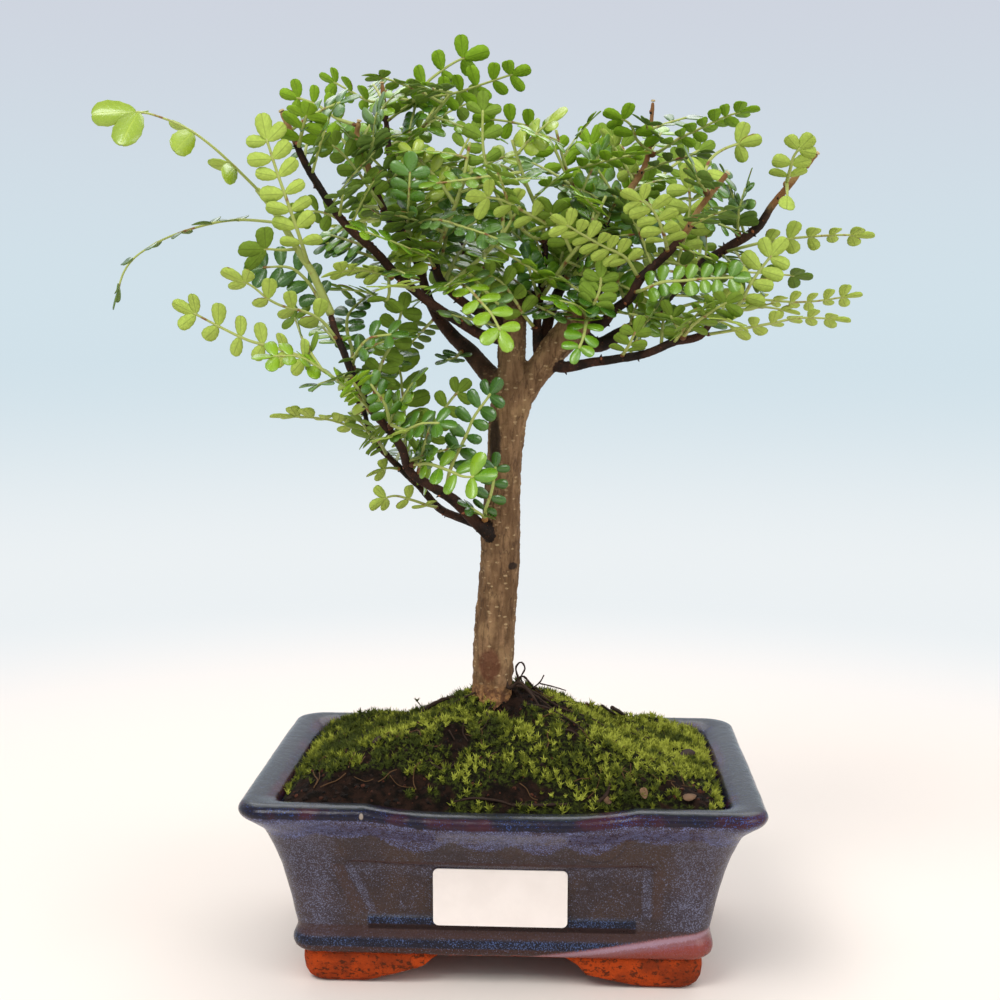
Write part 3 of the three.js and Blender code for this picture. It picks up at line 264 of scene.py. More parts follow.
    "upright_top": ("mid", (648, 157, 20),
        leaf(7, 6, -22, "662 150 16, 678 139 13, 697 130 11, 730 115 7, 760 108 5", tint="bright"),
        leaf(3, 6, -42, "637 140 13, 630 124 9, 604 112 5", tint="bright")),
    "upright_back": ("mid", (639, 177, 19),
        leaf(4, 6.4, -60, "620 168 26, 600 157 29, 580 128 34", tint="bright")),
    "upright_row": ("young", (592, 241, 14),
        leaf(8, 5.8, -52, "578 206 19, 562 165 19, 545 135 18, 520 124 17, 472 117 16", tint="bright")),
    "middle_dark": ("dark", (540, 300, 0),
        leaf(5, 5, 45, "534 284 -5, 528 264 -6, 525 243 -6")),
    "upright_inner": ("mid", (566, 279, 10),
        leaf(4, 5.4, 48, "572 268 1, 583 258 -4, 603 246 -9"),
        leaf(3, 5, -60, "561 263 5, 563 250 4, 566 235 3")),
    "crotch": ("young", (536, 330, 0),
        leaf(4, 6.2, -50, "522 312 -8, 511 294 -9, 500 281 -9, 468 268 -9", tint="mid", bare=0.35)),
    "centre_back": ("mid", (505, 313, 3),
        leaf(4, 6.6, -80, "494 292 9, 484 272 12, 487 243 15", width=1.1)),
    "upper_middle": ("dark", (437, 272, -3),
        leaf(6, 5.8, 35, "444 247 6, 450 220 9, 460 195 10, 472 160 11", tint="gloss")),
    "back_left_tip": ("mid", (438, 198, 54),
        leaf(5, 6, -100, "425 170 60, 410 150 63, 385 130 65"),
        leaf(5, 6, -100, "452 170 60, 465 145 63, 480 118 65"),
        leaf(5, 6, -60, "420 200 60, 395 205 63, 358 215 65")),
    "back_left_low": ("dark", (470, 262, 34),
        leaf(5, 6, -60, "468 265 42, 450 268 46, 425 264 50, 390 257 54"),
        leaf(5, 6, -80, "478 258 43, 492 243 46, 505 225 50, 515 198 54")),
    "back_right_tip": ("mid", (650, 192, 54),
        leaf(5, 6, -100, "668 170 60, 690 155 63, 715 143 65"),
        leaf(5, 6, -100, "635 165 60, 620 145 63, 598 125 65"),
        leaf(5, 6, -60, "664 212 60, 685 222 63, 712 234 65")),
    "back_right_low": ("dark", (622, 255, 35),
        leaf(6, 6, -30, "624 262 43, 650 268 46, 690 273 49, 740 272 52, 812 277 55"),
        leaf(5, 6, -80, "608 246 45, 598 236 47, 580 220 51, 560 193 55")),
}
BUD_REACH = 1.3
LEAF_BASE_REACH = 0.25
SEAT = 0.3


# --- helpers for curves and meshes ---

class Route:
    """A smooth curve through points, with even steps along it and a value that follows it."""

    def __init__(self, points, values=None, per_span=12):
        count = len(points)
        values = values or [0] * count
        knots = [0.0]
        for a, b in zip(points, points[1:]):
            knots.append(knots[-1] + max((b - a).length, 1e-6) ** 0.5)
        before = points[0] * 2 - points[1]
        after = points[-1] * 2 - points[-2]
        chain = [before, *points, after]
        times = [-knots[1], *knots, 2 * knots[-1] - knots[-2]]
        self.spots, self.values = [], []
        for i in range(1, count):
            p = chain[i - 1:i + 3]
            t = times[i - 1:i + 3]
            for k in range(per_span):
                share = k / per_span
                self.spots.append(self.blend(p, t, t[1] + (t[2] - t[1]) * share))
                self.values.append(values[i - 1] * (1 - share) + values[i] * share)
        self.spots.append(points[-1].copy())
        self.values.append(values[-1])
        self.reach = [0.0]
        for a, b in zip(self.spots, self.spots[1:]):
            self.reach.append(self.reach[-1] + (b - a).length)
        self.length = self.reach[-1]

    @staticmethod
    def blend(p, t, at):
        def mix(a, b, ta, tb):
            return a * ((tb - at) / (tb - ta)) + b * ((at - ta) / (tb - ta))
        a = [mix(p[i], p[i + 1], t[i], t[i + 1]) for i in range(3)]
        b = [mix(a[0], a[1], t[0], t[2]), mix(a[1], a[2], t[1], t[3])]
        return mix(b[0], b[1], t[1], t[2])

    def at(self, distance):
        """The point, direction and value at a distance along."""
        distance = min(max(distance, 0.0), self.length)
        low = min(bisect_right(self.reach, distance) - 1, len(self.reach) - 2)
        high = low + 1
        span = self.reach[high] - self.reach[low]
        share = (distance - self.reach[low]) / span if span else 0
        a, b = self.spots[low], self.spots[high]
        value = self.values[low] * (1 - share) + self.values[high] * share
        return a.lerp(b, share), (b - a).normalized(), value


def route_of(line, thinned=float):
    """A route through places of the front view that have their radius as a fourth number."""
    return Route([seen(place) for place in line], [thinned(place[3]) for place in line])


def smoothstep(low, high, value):
    share = min(max((value - low) / (high - low), 0.0), 1.0)
    return share * share * (3 - 2 * share)


def surface(bm, columns, rows, place, merge=1e-4):
    """A grid of columns by rows, with each corner moved to place(across, along), both 0 to 1."""
    made = bmesh.ops.create_grid(bm, x_segments=columns, y_segments=rows, size=0.5)["verts"]
    for vert in made:
        vert.co = place(vert.co.x + 0.5, vert.co.y + 0.5)
    bmesh.ops.remove_doubles(bm, verts=made, dist=merge)
    return [vert for vert in made if vert.is_valid]


def as_given(distance, value):
    return value


def tube(bm, route, around, step, thickness=as_given, squash=1.0, facing=None, blunt=0.25):
    """A closed tube along a route, with its radius from thickness(distance, value)."""
    rows = max(3, round(route.length / step))
    side = None
    frames = []
    for i in range(rows + 1):
        point, along, value = route.at(route.length * i / rows)
        if facing is not None:
            side = (facing - along * facing.dot(along)).normalized()
        elif side is None:
            side = along.orthogonal().normalized()
        else:
            side = (side - along * side.dot(along)).normalized()
        frames.append((point, along, side, value, route.length * i / rows))

    def place(across, along_share):
        index = round(along_share * (rows + 2)) - 1
        end = index < 0 or index > rows
        point, along, side, value, distance = frames[min(max(index, 0), rows)]
        radius = thickness(distance, value)
        if end:
            return point + along * radius * blunt * (-1 if index < 0 else 1)
        angle = across * tau
        cross = along.cross(side)
        return point + side * cos(angle) * radius * squash + cross * sin(angle) * radius

    return surface(bm, around, rows + 2, place)


def knob(bm, centre, sizes, turn=None, subdivisions=2):
    """A small rounded lump."""
    matrix = Matrix.Translation(centre) @ (turn or Matrix.Identity(3)).to_4x4() @ Matrix.Diagonal((*sizes, 1))
    return bmesh.ops.create_icosphere(bm, subdivisions=subdivisions, radius=1, matrix=matrix)["verts"]


def turn_outward(bm):
    bmesh.ops.recalc_face_normals(bm, faces=bm.faces)


def linked(name, data):
    """A new object in the scene, its data made from a bmesh if it is one."""
    if isinstance(data, bmesh.types.BMesh):
        bm, data = data, bpy.data.meshes.new(name)
        bm.to_mesh(data)
        bm.free()
    made = bpy.data.objects.new(name, data)
    bpy.context.collection.objects.link(made)
    return made


def drop(*items):
    """Removes helper objects and their meshes."""
    for item in items:
        mesh = item.data
        bpy.data.objects.remove(item)
        bpy.data.meshes.remove(mesh)


def evaluated_bmesh(item):
    """The mesh of an object with its modifiers baked."""
    bpy.context.view_layer.update()
    mesh = bpy.data.meshes.new_from_object(item.evaluated_get(bpy.context.evaluated_depsgraph_get()))
    bm = bmesh.new()
    bm.from_mesh(mesh)
    bpy.data.meshes.remove(mesh)
    return bm


def add_piece(name, bm, materials, nodes=(), smooth=True, turn_out=True):
    """A finished piece in the frame, riding on the one body."""
    bmesh.ops.transform(bm, matrix=INTO_FRAME, verts=bm.verts)
    if turn_out:
        turn_outward(bm)
    if smooth is not None:
        for face in bm.faces:
            face.smooth = smooth
    piece = linked(name, bm)
    for material in materials:
        piece.data.materials.append(material)
    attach(piece, "root")
    if nodes:
        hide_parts(*nodes)
    return piece


# --- helpers for materials ---

class Value:
    """A number or colour that a material works out; sums with it are written as usual."""

    def __init__(self, paint, socket):
        self.paint = paint
        self.socket = socket

    def __add__(self, other):
        return self.paint.math("ADD", self, other)

    def __sub__(self, other):
        return self.paint.math("SUBTRACT", self, other)

    def __rsub__(self, other):
        return self.paint.math("SUBTRACT", other, self)

    def __mul__(self, other):
        return self.paint.math("MULTIPLY", self, other)

    def __abs__(self):
        return self.paint.math("ABSOLUTE", self)

    def lay(self, share, color):
        """Lays another colour over this one."""
        self.socket = self.paint.mix(share, self, color).socket


class Paint:
    """A material or a node group in the making, with the settings that its colours are named in."""

    def __init__(self, tree, colors=None):
        self.tree = tree
        self.colors = colors

    def node(self, kind, values=None, **settings):
        made = self.tree.nodes.new(kind)
        for key, value in settings.items():
            setattr(made, key, value)
        for key, value in (values or {}).items():
            self.put(made.inputs[key], value)
        return made

    def put(self, socket, value):
        if isinstance(value, Value):
            value = value.socket
        elif isinstance(value, str):
            value = rgb(getattr(self.colors, value))
        if isinstance(value, bpy.types.NodeSocket):
            self.tree.links.new(value, socket)
        else:
            socket.default_value = value

    def noise(self, where, scale, detail=4.0, rough=0.55, stretch=None):
        if stretch:
            where = self.vector("MULTIPLY", where, stretch)
        made = self.node("ShaderNodeTexNoise", {"Vector": where, "Scale": scale, "Detail": detail,
                                                "Roughness": rough})
        return Value(self, made.outputs["Fac"])

    def vector(self, operation, a, b=None):
        made = self.node("ShaderNodeVectorMath", {0: a}, operation=operation)
        if b is not None:
            self.put(made.inputs[3 if operation == "SCALE" else 1], b)
        return Value(self, made.outputs["Value" if operation == "LENGTH" else 0])

    def attribute(self, name):
        return Value(self, self.node("ShaderNodeAttribute", attribute_name=name).outputs["Fac"])

    def parts(self, vector):
        return [Value(self, part) for part in self.node("ShaderNodeSeparateXYZ", {0: vector}).outputs]

    def band(self, value, low, high, to_low=0.0, to_high=1.0):
        made = self.node("ShaderNodeMapRange", {"Value": value, "From Min": low, "From Max": high, "To Min": to_low,
                                                "To Max": to_high}, interpolation_type="SMOOTHSTEP")
        return Value(self, made.outputs["Result"])

    def math(self, operation, a, b=0.0):
        return Value(self, self.node("ShaderNodeMath", {0: a, 1: b}, operation=operation).outputs[0])

    def mix(self, share, a, b):
        made = self.node("ShaderNodeMix", data_type="RGBA")
        self.put(made.inputs["Factor"], share)
        self.put(made.inputs["A"], a)
        self.put(made.inputs["B"], b)
        return Value(self, made.outputs["Result"])

    def finish(self, color, rough, height, depth, strength):
        """Puts a finish's colour, roughness if it varies, and relief on the shader."""
        self.put(self.shader.inputs["Base Color"], color)
        if rough:
            self.put(self.shader.inputs["Roughness"], rough)
        bump = self.node("ShaderNodeBump", {"Height": height, "Strength": strength, "Distance": depth})
        self.put(self.shader.inputs["Normal"], bump.outputs[0])

    def ramp(self, value, *stops):
        made = self.node("ShaderNodeValToRGB", {"Fac": value})
        ramp = made.color_ramp
        while len(ramp.elements) < len(stops):
            ramp.elements.new(0.5)
        for element, (place, color) in zip(ramp.elements, stops):
            element.position = place
            element.color = color
        return made.outputs["Color"]


def rgb(color):
    return (*color, 1.0)


def material(name, colors, build, roughness=0.5, **sockets):
    """A material from build(paint), which ends in paint.finish and names colours of the settings."""
    made = bpy.data.materials.new(name)
    made.use_nodes = True
    made.node_tree.nodes.clear()
    paint = Paint(made.node_tree, colors)
    paint.shader = shader = paint.node("ShaderNodeBsdfPrincipled", {"Roughness": roughness})
    for key, value in sockets.items():
        shader.inputs[key.replace("_", " ").title().replace("Ior", "IOR")].default_value = value
    out = paint.node("ShaderNodeOutputMaterial")
    paint.put(out.inputs["Surface"], shader.outputs[0])
    build(paint)
    return made


FLOAT, COLOR, VECTOR = "NodeSocketFloat", "NodeSocketColor", "NodeSocketVector"
MOTTLE_INPUTS = {"Place": VECTOR, "Base": COLOR, "Second": COLOR, "Speck": COLOR, "Patch scale": FLOAT,
                 "Speck scale": FLOAT, "Speck strength": FLOAT}


def make_mottle():
    """A shared group: two colours in soft patches with fine specks of a third, and a height for relief."""
    tree = bpy.data.node_groups.new("mottle", "ShaderNodeTree")
    for label, kind in MOTTLE_INPUTS.items():
        tree.interface.new_socket(name=label, in_out="INPUT", socket_type=kind)
    for label, kind in (("Color", COLOR), ("Height", FLOAT)):
        tree.interface.new_socket(name=label, in_out="OUTPUT", socket_type=kind)
    paint = Paint(tree)
    given, out = paint.node("NodeGroupInput").outputs, paint.node("NodeGroupOutput").inputs
    patches = paint.noise(given["Place"], given["Patch scale"], 3.0)
    specks = paint.noise(given["Place"], given["Speck scale"], 2.0)
    blended = paint.mix(paint.band(patches, 0.38, 0.62), given["Base"], given["Second"])
    strength = paint.band(specks, 0.62, 0.7) * given["Speck strength"]
    paint.put(out["Color"], paint.mix(strength, blended, given["Speck"]))
    paint.put(out["Height"], patches * 0.5 + specks)
    return tree


def mottle(paint, *values):
    made = paint.node("ShaderNodeGroup")
    made.node_tree = bpy.data.node_groups.get("mottle") or make_mottle()
    for key, value in zip(MOTTLE_INPUTS, values):
        paint.put(made.inputs[key], value)
    return [Value(paint, made.outputs[name]) for name in ("Color", "Height")]


# --- pot ---

# Rings up the outside, each an inset, a height, a corner radius and how much wider the pot is there.
OUTSIDE = [
    (16.3, 9.5, 6, 0.4), (15.3, 10.4, 6.6, 1), (14.8, 12, 7, 1.2), (14.8, 13.8, 7, 1.2), (15.6, 15.3, 6.6, 1.2),
    (16.2, 16.8, 6.2, 1.3), (15, 26.5, 6.5, 2), (13.2, 35, 7, 2.3), (11.2, 41, 7.5, 2.3), (9.2, 45, 8, 1.8),
    (7, 48.2, 8.5, 1), (3.6, 50.9, 9, 0.2), (0.9, 53.2, 9, 0), (0, 55.1, 9, 0), (0.8, 56.9, 8.5, 0),
    (2.7, 57.8, 7.5, 0),
]
INSIDE = [(6.5, 57.6, 6.5), (9.4, 56.6, 6.2), (10.8, 55, 6), (11.5, 53, 5.5), (15.5, 46, 5), (20.5, 22, 4), (22, 17, 3)]
POT_WIDTH = 150
POT_DEPTH = 112
RIM_TOP = 57.8
RIM_SAG = 2.2
SAG_HALF_WIDTH = 38
FOOT_HEIGHT = 9.5


def sag(x, y, z):
    """How far the rim's middle sinks."""
    frontness = 1 if y < 0 else 0.25
    middleness = max(0.0, 1 - (x / SAG_HALF_WIDTH) ** 4)
    return RIM_SAG * frontness * middleness * smoothstep(FOOT_HEIGHT * 2, RIM_TOP, z)


FRONT_COLUMNS = 150
SIDE_COLUMNS = 44
CORNER_COLUMNS = 14


def pot_columns():
    """Places round the pot, each a share of its half sizes and the way that it faces."""
    columns = []
    sides = ((-1, -1, 1, -1, -90), (1, -1, 1, 1, 0), (1, 1, -1, 1, 90), (-1, 1, -1, -1, 180))
    for index, (x0, y0, x1, y1, facing) in enumerate(sides):
        steps = FRONT_COLUMNS if index % 2 == 0 else SIDE_COLUMNS
        for i in range(steps):
            share = i / steps
            columns.append((x0 + (x1 - x0) * share, y0 + (y1 - y0) * share, radians(facing)))
        for i in range(CORNER_COLUMNS):
            columns.append((x1, y1, radians(facing + 90 * i / CORNER_COLUMNS)))
    return columns


def pot_ring(inset, z, corner, wider=0):
    """Half width, half depth, height and corner radius of the pot at an inset."""
    return Vector((POT_WIDTH / 2 - inset + wider, POT_DEPTH / 2 - inset, z, corner))


def ring_point(ring, column):
    half_width, half_depth, z, corner = ring
    x_share, y_share, facing = column
    return Vector((x_share * (half_width - corner) + corner * cos(facing), y_share * (half_depth - corner)
                   + corner * sin(facing), z))


def panel_depth(x, z):
    """How much of the panel's depth a place on the front or back has, 0 to 1."""
    share = (z - PANEL_LOW) / (PANEL_HIGH - PANEL_LOW)
    left = -40.2 - 4.3 * share
    right = 41.4 + 2 * share
    inside = min(x - left, right - x, z - PANEL_LOW, PANEL_HIGH - z)
    return smoothstep(-0.35, 0.35, inside)


PANEL_LOW = 21.2
PANEL_HIGH = 38.6
PANEL_RECESS = 0.9
LEDGE_REACH = 0.5


def make_pot(settings):
    bm = bmesh.new()
    floor = [Vector((7, 7, 17, 7)), Vector((7, 7, FOOT_HEIGHT + 0.3, 7)), pot_ring(24, FOOT_HEIGHT, 5),
             pot_ring(17, FOOT_HEIGHT, 5.5)]
    outside = [pot_ring(*ring) for ring in OUTSIDE]
    inside = [pot_ring(*ring) for ring in INSIDE]
    loop = floor + outside + inside + [floor[0]]
    rings = []
    for a, b in zip(loop, loop[1:]):
        rough = max(abs(a.z - b.z), 0.35 * (a - b).length)
        steps = max(1, round(min(rough / 0.62, 40)))
        if a in floor or b == floor[0]:
            steps = 2
        rings += [a.lerp(b, i / steps) for i in range(steps)]
    first_outside = 6
    rounded = [ring.copy() for ring in rings]
    for i in range(first_outside + 1, len(rings) - 4):
        rounded[i] = rings[i] * 0.4 + (rings[i - 1] + rings[i + 1]) * 0.3
    columns = pot_columns()
    last_outside = max(i for i, ring in enumerate(rounded) if ring.x > POT_WIDTH / 2 - 3.5)

    def place(across, along):
        row = round(along * len(rounded)) % len(rounded)
        column = columns[round(across * len(columns)) % len(columns)]
        point = ring_point(rounded[row], column)
        outward = Vector((cos(column[2]), sin(column[2]), 0))
        if first_outside <= row <= last_outside:
            flat = abs(outward.y) > 0.99
            if flat and abs(point.z - 30) < 12:
                point -= outward * PANEL_RECESS * panel_depth(point.x, point.z)
            if flat and abs(point.x) < 39.5:
                bar = smoothstep(17.8, 18.5, point.z) * (1 - smoothstep(20.9, 21.5, point.z))
                point += outward * LEDGE_REACH * bar * smoothstep(39.3, 38.4, abs(point.x)) if bar else Vector()
        waves = noise(point * 0.045) * settings.waviness + noise(point * 0.22) * 0.12
        if row >= first_outside:
            point += outward * waves * (1 if row <= last_outside else 0.4)
        point.z -= sag(point.x, point.y, point.z)
        return point

    surface(bm, len(columns), len(rounded), place)
    return add_piece("pot_body", bm, [glaze(settings)], ["pot"])


def prism(outline, low, high, across_pot):
    """A closed bar with an outline of (along, height) places, lying across the pot."""
    bm = bmesh.new()
    verts = [bm.verts.new((low, a, z) if across_pot else (a, low, z)) for a, z in outline]
    face = bm.faces.new(verts)
    made = bmesh.ops.extrude_face_region(bm, geom=[face])["geom"]
    moved = [item for item in made if isinstance(item, bmesh.types.BMVert)]
    shift = Vector((high - low, 0, 0)) if across_pot else Vector((0, high - low, 0))
    bmesh.ops.translate(bm, vec=shift, verts=moved)
    turn_outward(bm)
    return bm


ARCH = [
    (-44, -1), (-42.5, 0), (-39, 0.6), (-35, 2.2), (-30.6, 3.5), (-25, 5.2), (-22.5, 6.3), (-20.3, 8.3),
    (-18.3, FOOT_HEIGHT), (18.4, FOOT_HEIGHT), (20.4, 8.4), (22.2, 7.2), (24.5, 4.4), (30.8, 2.9), (36.7, 1.5),
    (41, 0.4), (45, 0), (47, -1),
]
SIDE_ARCH = [
    (-27, -1), (-26, 0), (-20, 4), (-15, 5.4), (-12, FOOT_HEIGHT), (12, FOOT_HEIGHT), (15, 5.4), (20, 4),
    (26, 0), (27, -1),
]


def cut(bm, cutters):
    """The bmesh with closed cutters taken off, by live Booleans that are then baked."""
    body = linked("blank", bm)
    tools = [linked("blank", cutter) for cutter in cutters]
    for tool in tools:
        step = body.modifiers.new("cut", "BOOLEAN")
        step.operation = "DIFFERENCE"
        step.solver = "EXACT"
        step.object = tool
    result = evaluated_bmesh(body)
    drop(body, *tools)
    return result


def make_feet(settings):
    columns = pot_columns()
    top = FOOT_HEIGHT + 0.3
    rings = [pot_ring(*ring) for ring in ((30, 0, 4), (20.2, 0, 5), (18.9, 0.4, 5), (17.8, 1.5, 5.5),
                                          (17, 3.4, 5.5), (16.6, 6.4, 5.5), (16.8, top, 5.5), (30, top, 4))]
    bm = bmesh.new()

    def place(across, along):
        row = round(along * (len(rings) + 1)) - 1
        column = columns[round(across * len(columns)) % len(columns)]
        ring = rings[min(max(row, 0), len(rings) - 1)]
        point = ring_point(ring, column)
        if row < 0 or row >= len(rings):
            return Vector((0, 0, point.z))
        return point + point.normalized() * noise(point * 0.2) * 0.15

    surface(bm, len(columns), len(rings) + 1, place)
    turn_outward(bm)
    cutters = [prism(ARCH, -90, 90, False), prism(SIDE_ARCH, -90, 90, True)]
    feet = cut(bm, cutters)
    return add_piece("pot_feet", feet, [terracotta(settings)], (), smooth=False)


def make_small_parts(settings):
    for name, finish in (("label", blank_paper(settings)), ("drain_mesh", mesh_plastic(settings))):
        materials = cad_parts[name].data.materials
        materials.clear()
        materials.append(finish)


# --- soil ---

MOUND_PEAK = 79.5
MOUND_EDGE = 55
MOUND_FALL = 1.6
MOUND_RADIUS = 50
SOIL_SEAT = 0.3
GROUND = {}


# Places without moss: across and along the pot, half sizes, and how bare.
BARE_SPOTS = [(-46, -42, 20, 5.5, 1.2), (-15, -24, 5, 8, 0.8), (9, -4, 13, 7, 1.0), (55, -38, 8, 6, 0.8),
              (21, -19, 3.5, 3.5, 0.6), (-55, -24, 6, 5, 0.5), (-28, -18, 4, 3, 0.4), (5, -40, 14, 2.5, 0.5)]


def mossiness(x, y):
    """How mossy the mound is at a place, 0 to 1."""
    broad = noise(Vector((x * 0.055 + 3.1, y * 0.075 + 1.7, 0.4)))
    fine = noise(Vector((x * 0.21, y * 0.26, 5.0)))
    bare = sum(much * exp(-((x - across) / wide) ** 2 - ((y - along) / deep) ** 2)
               for across, along, wide, deep, much in BARE_SPOTS)
    return smoothstep(-0.16, 0.12, 0.3 + 0.35 * broad + 0.55 * fine - bare)


def make_soil(settings):
    bm = bmesh.new()
    centre = seen(TRUNK[1])
    centre.z = 0
    columns = pot_columns()[::2]
    edge_ring = pot_ring(11.5 + SOIL_SEAT, MOUND_EDGE, 5.5)
    wall = [pot_ring(15.5 + SOIL_SEAT, 48, 5), pot_ring(20.5 + SOIL_SEAT, 22, 4), pot_ring(22 + SOIL_SEAT, 17.4, 3)]
    rows = 84

    def place(across, along):
        row = round(along * (rows + len(wall) + 1))
        column = columns[round(across * len(columns)) % len(columns)]
        if row > rows + len(wall):
            return Vector((0, 0, wall[-1].z))
        if row > rows:
            return ring_point(wall[row - rows - 1], column)
        share = row / rows
        edge = ring_point(edge_ring, column)
        edge.z -= sag(edge.x, edge.y, edge.z)
        outward = Vector((edge.x - centre.x, edge.y - centre.y, 0))
        reach = outward.normalized().lerp(outward / MOUND_RADIUS, share) * MOUND_RADIUS * share
        point = centre + reach
        moss = mossiness(point.x, point.y)
        lumps = noise(point * 0.12) * 1.5 + noise(point * 0.35) * 1.1
        grit = noise(point * 1.1) * 0.5 + noise(point * 2.3) * 0.28
        point.z = edge.z + (MOUND_PEAK - edge.z) * (1 - share ** MOUND_FALL)
        fade = 1 - smoothstep(0.93, 1, share) * 0.7
        left_low = 7.0 * exp(-((point.x + 30) / 18) ** 2 - ((point.y - 10) / 28) ** 2)
        left_low += 4.0 * exp(-((point.x - 34) / 18) ** 2 - ((point.y - 10) / 26) ** 2)
        at_trunk = 4.2 * exp(-((point.x + 4) / 9) ** 2 - ((point.y + 11) / 8) ** 2)
        point.z += (lumps + grit * (1 - 0.5 * moss) + moss * 1.4 - left_low - at_trunk) * fade
        return point

    surface(bm, len(columns), rows + len(wall) + 1, place)
    turn_outward(bm)
    GROUND["tree"] = BVHTree.FromBMesh(bm)
    layer = bm.verts.layers.float.new("moss")
    for vert in bm.verts:
        vert[layer] = mossiness(vert.co.x, vert.co.y)
    return add_piece("soil_mound", bm, [soil_finish(settings)], ["soil"])


def ground(x, y):
    """The top of the mound at a place, and which way it faces there."""
    point, normal, _, _ = GROUND["tree"].ray_cast(Vector((x, y, 150)), Vector((0, 0, -1)))
    if point is None or point.z < MOUND_EDGE - 6:
        return None, None
    return point, normal


def template(build):
    """A small mesh from build(bmesh), to be copied many times."""
    bm = bmesh.new()
    build(bm)
    mesh = bpy.data.meshes.new("small")
    bm.to_mesh(mesh)
    bm.free()
    return mesh


class Copies:
    """A bmesh that gathers turned and sized copies of small meshes, each with a tone of its own."""

    def __init__(self):
        self.whole = bmesh.new()
        self.whole.loops.layers.uv.new("UVMap")
        self.whole.faces.layers.float.new("tone")
        self.scratch = bpy.data.meshes.new("scratch")

    def add(self, small, matrix, tone=0.5, first_finish=0):
        bm = bmesh.new()
        bm.from_mesh(small)
        bmesh.ops.transform(bm, matrix=matrix, verts=bm.verts)
        if first_finish:
            for face in bm.faces:
                face.material_index += first_finish
        self.take(bm, tone)

    def take(self, bm, tone=0.5, finish=None):
        """Gathers a bmesh, in one of the piece's finishes and smooth if a finish is given."""
        layer = bm.faces.layers.float.get("tone") or bm.faces.layers.float.new("tone")
        for face in bm.faces:
            face[layer] = tone
            if finish is not None:
                face.material_index = finish
                face.smooth = True
        bm.to_mesh(self.scratch)
        bm.free()
        self.whole.from_mesh(self.scratch)

    def take_tube(self, tone, *shape, **settings):
        """Gathers a green stalk."""
        bm = bmesh.new()
        tube(bm, *shape, **settings)
        turn_outward(bm)
        self.take(bm, tone, STALK)


def standing(point, up, turn, size):
    """A matrix that stands a small mesh at a point, its z along up."""
    matrix = Matrix.Translation(point) @ up.to_track_quat("Z", "Y").to_matrix().to_4x4()
    return matrix @ Matrix.Rotation(turn, 4, "Z") @ Matrix.Diagonal((*size, 1))


MOSS_BLADES = 10


def moss_tuft(bm, rand):
    """A small star of pointed leaflets, some upright and most spread out."""
    for i in range(MOSS_BLADES):
        turn = i * 2.4 + rand.uniform(-0.4, 0.4)
        spread = 0.25 if i < 3 else rand.uniform(0.6, 1.15)
        lean = Vector((cos(turn) * sin(spread), sin(turn) * sin(spread), cos(spread)))
        length = rand.uniform(1.1, 1.9)
        place = Vector((rand.uniform(-0.3, 0.3), rand.uniform(-0.3, 0.3), 0.1 + 0.5 * (i % 2)))
        matrix = standing(place + lean * length * 0.5, lean, rand.uniform(0, 6), (1, 0.6, 1))
        bmesh.ops.create_cone(bm, cap_ends=True, segments=3, radius1=0.3, radius2=0.0, depth=length, matrix=matrix)


def make_moss(settings):
    rand = random.Random(12)
    tufts = [template(lambda bm: moss_tuft(bm, rand)) for _ in range(5)]
    copies = Copies()
    planted = 0
    while planted < settings.moss_tufts:
        x, y = rand.uniform(-63, 63), rand.uniform(-44, 44)
        point, normal = ground(x, y)
        if point is None or rand.random() > mossiness(x, y) ** 2:
            continue
        planted += 1
        size = rand.uniform(0.6, 1.2)
        up = (normal + Vector((0, 0, 1.4))).normalized()
        matrix = standing(point - up * 0.2, up, rand.uniform(0, tau), (size, size, size * rand.uniform(0.8, 1.5)))
        # Each tuft's tone: random patches plus painted light, brighter towards the right.
        painted_light_and_tone = 0.5 + noise(Vector((x * 0.07, y * 0.09, 2.0))) + x * 0.004
        copies.add(rand.choice(tufts), matrix, min(max(painted_light_and_tone + rand.uniform(-0.45, 0.45), 0), 1))
    return add_piece("moss", copies.whole, [toned("moss", settings)], (), smooth=False)


def crumb(bm, rand):
    bmesh.ops.create_icosphere(bm, subdivisions=1, radius=0.5)
    for vert in bm.verts:
        vert.co *= rand.uniform(0.5, 1.35)


def lay(points, lift=0.35):
    """Ground points under a line of (x, y) or (x, y, extra height) places."""
    line = []
    for place in points:
        point, _ = ground(place[0], place[1])
        point = point or Vector((place[0], place[1], MOUND_EDGE))
        line.append(point + Vector((0, 0, lift + (place[2] if len(place) > 2 else 0))))
    return line


ROOTS = [points(line) for line in (
    "-1 -3 6, 0.5 -5 5, 3.6 -6 6.4, 7 -7.5 4.2, 9.5 -9 1, 11 -11 -1",
    "0 -1 3, 4 -3 3.4, 9 -5 2.6, 15 -8 1, 21 -9 0.3, 27 -12 0",
    "2 1 2, 9 -1 1.5, 17 -3 1.2, 26 -4 0.8, 33 -7 0, 38 -12 -0.6",
    "6 -9 1, 12 -13 0.8, 19 -15 0.2, 25 -20 0, 28 -26 -0.4",
    "-10 -4 1.6, -16 -7 0.6, -22 -8 0, -28 -12 -0.5",
    "-4 -6 1.5, -6 -12 0.4, -5 -19 0, -9 -26 -0.5",
    "14 -2 0.4, 18 5 0.6, 25 9 0.2, 31 16 -0.4",
    "-9 4 1, -15 9 0.4, -19 17 0, -26 21 -0.6",
)]


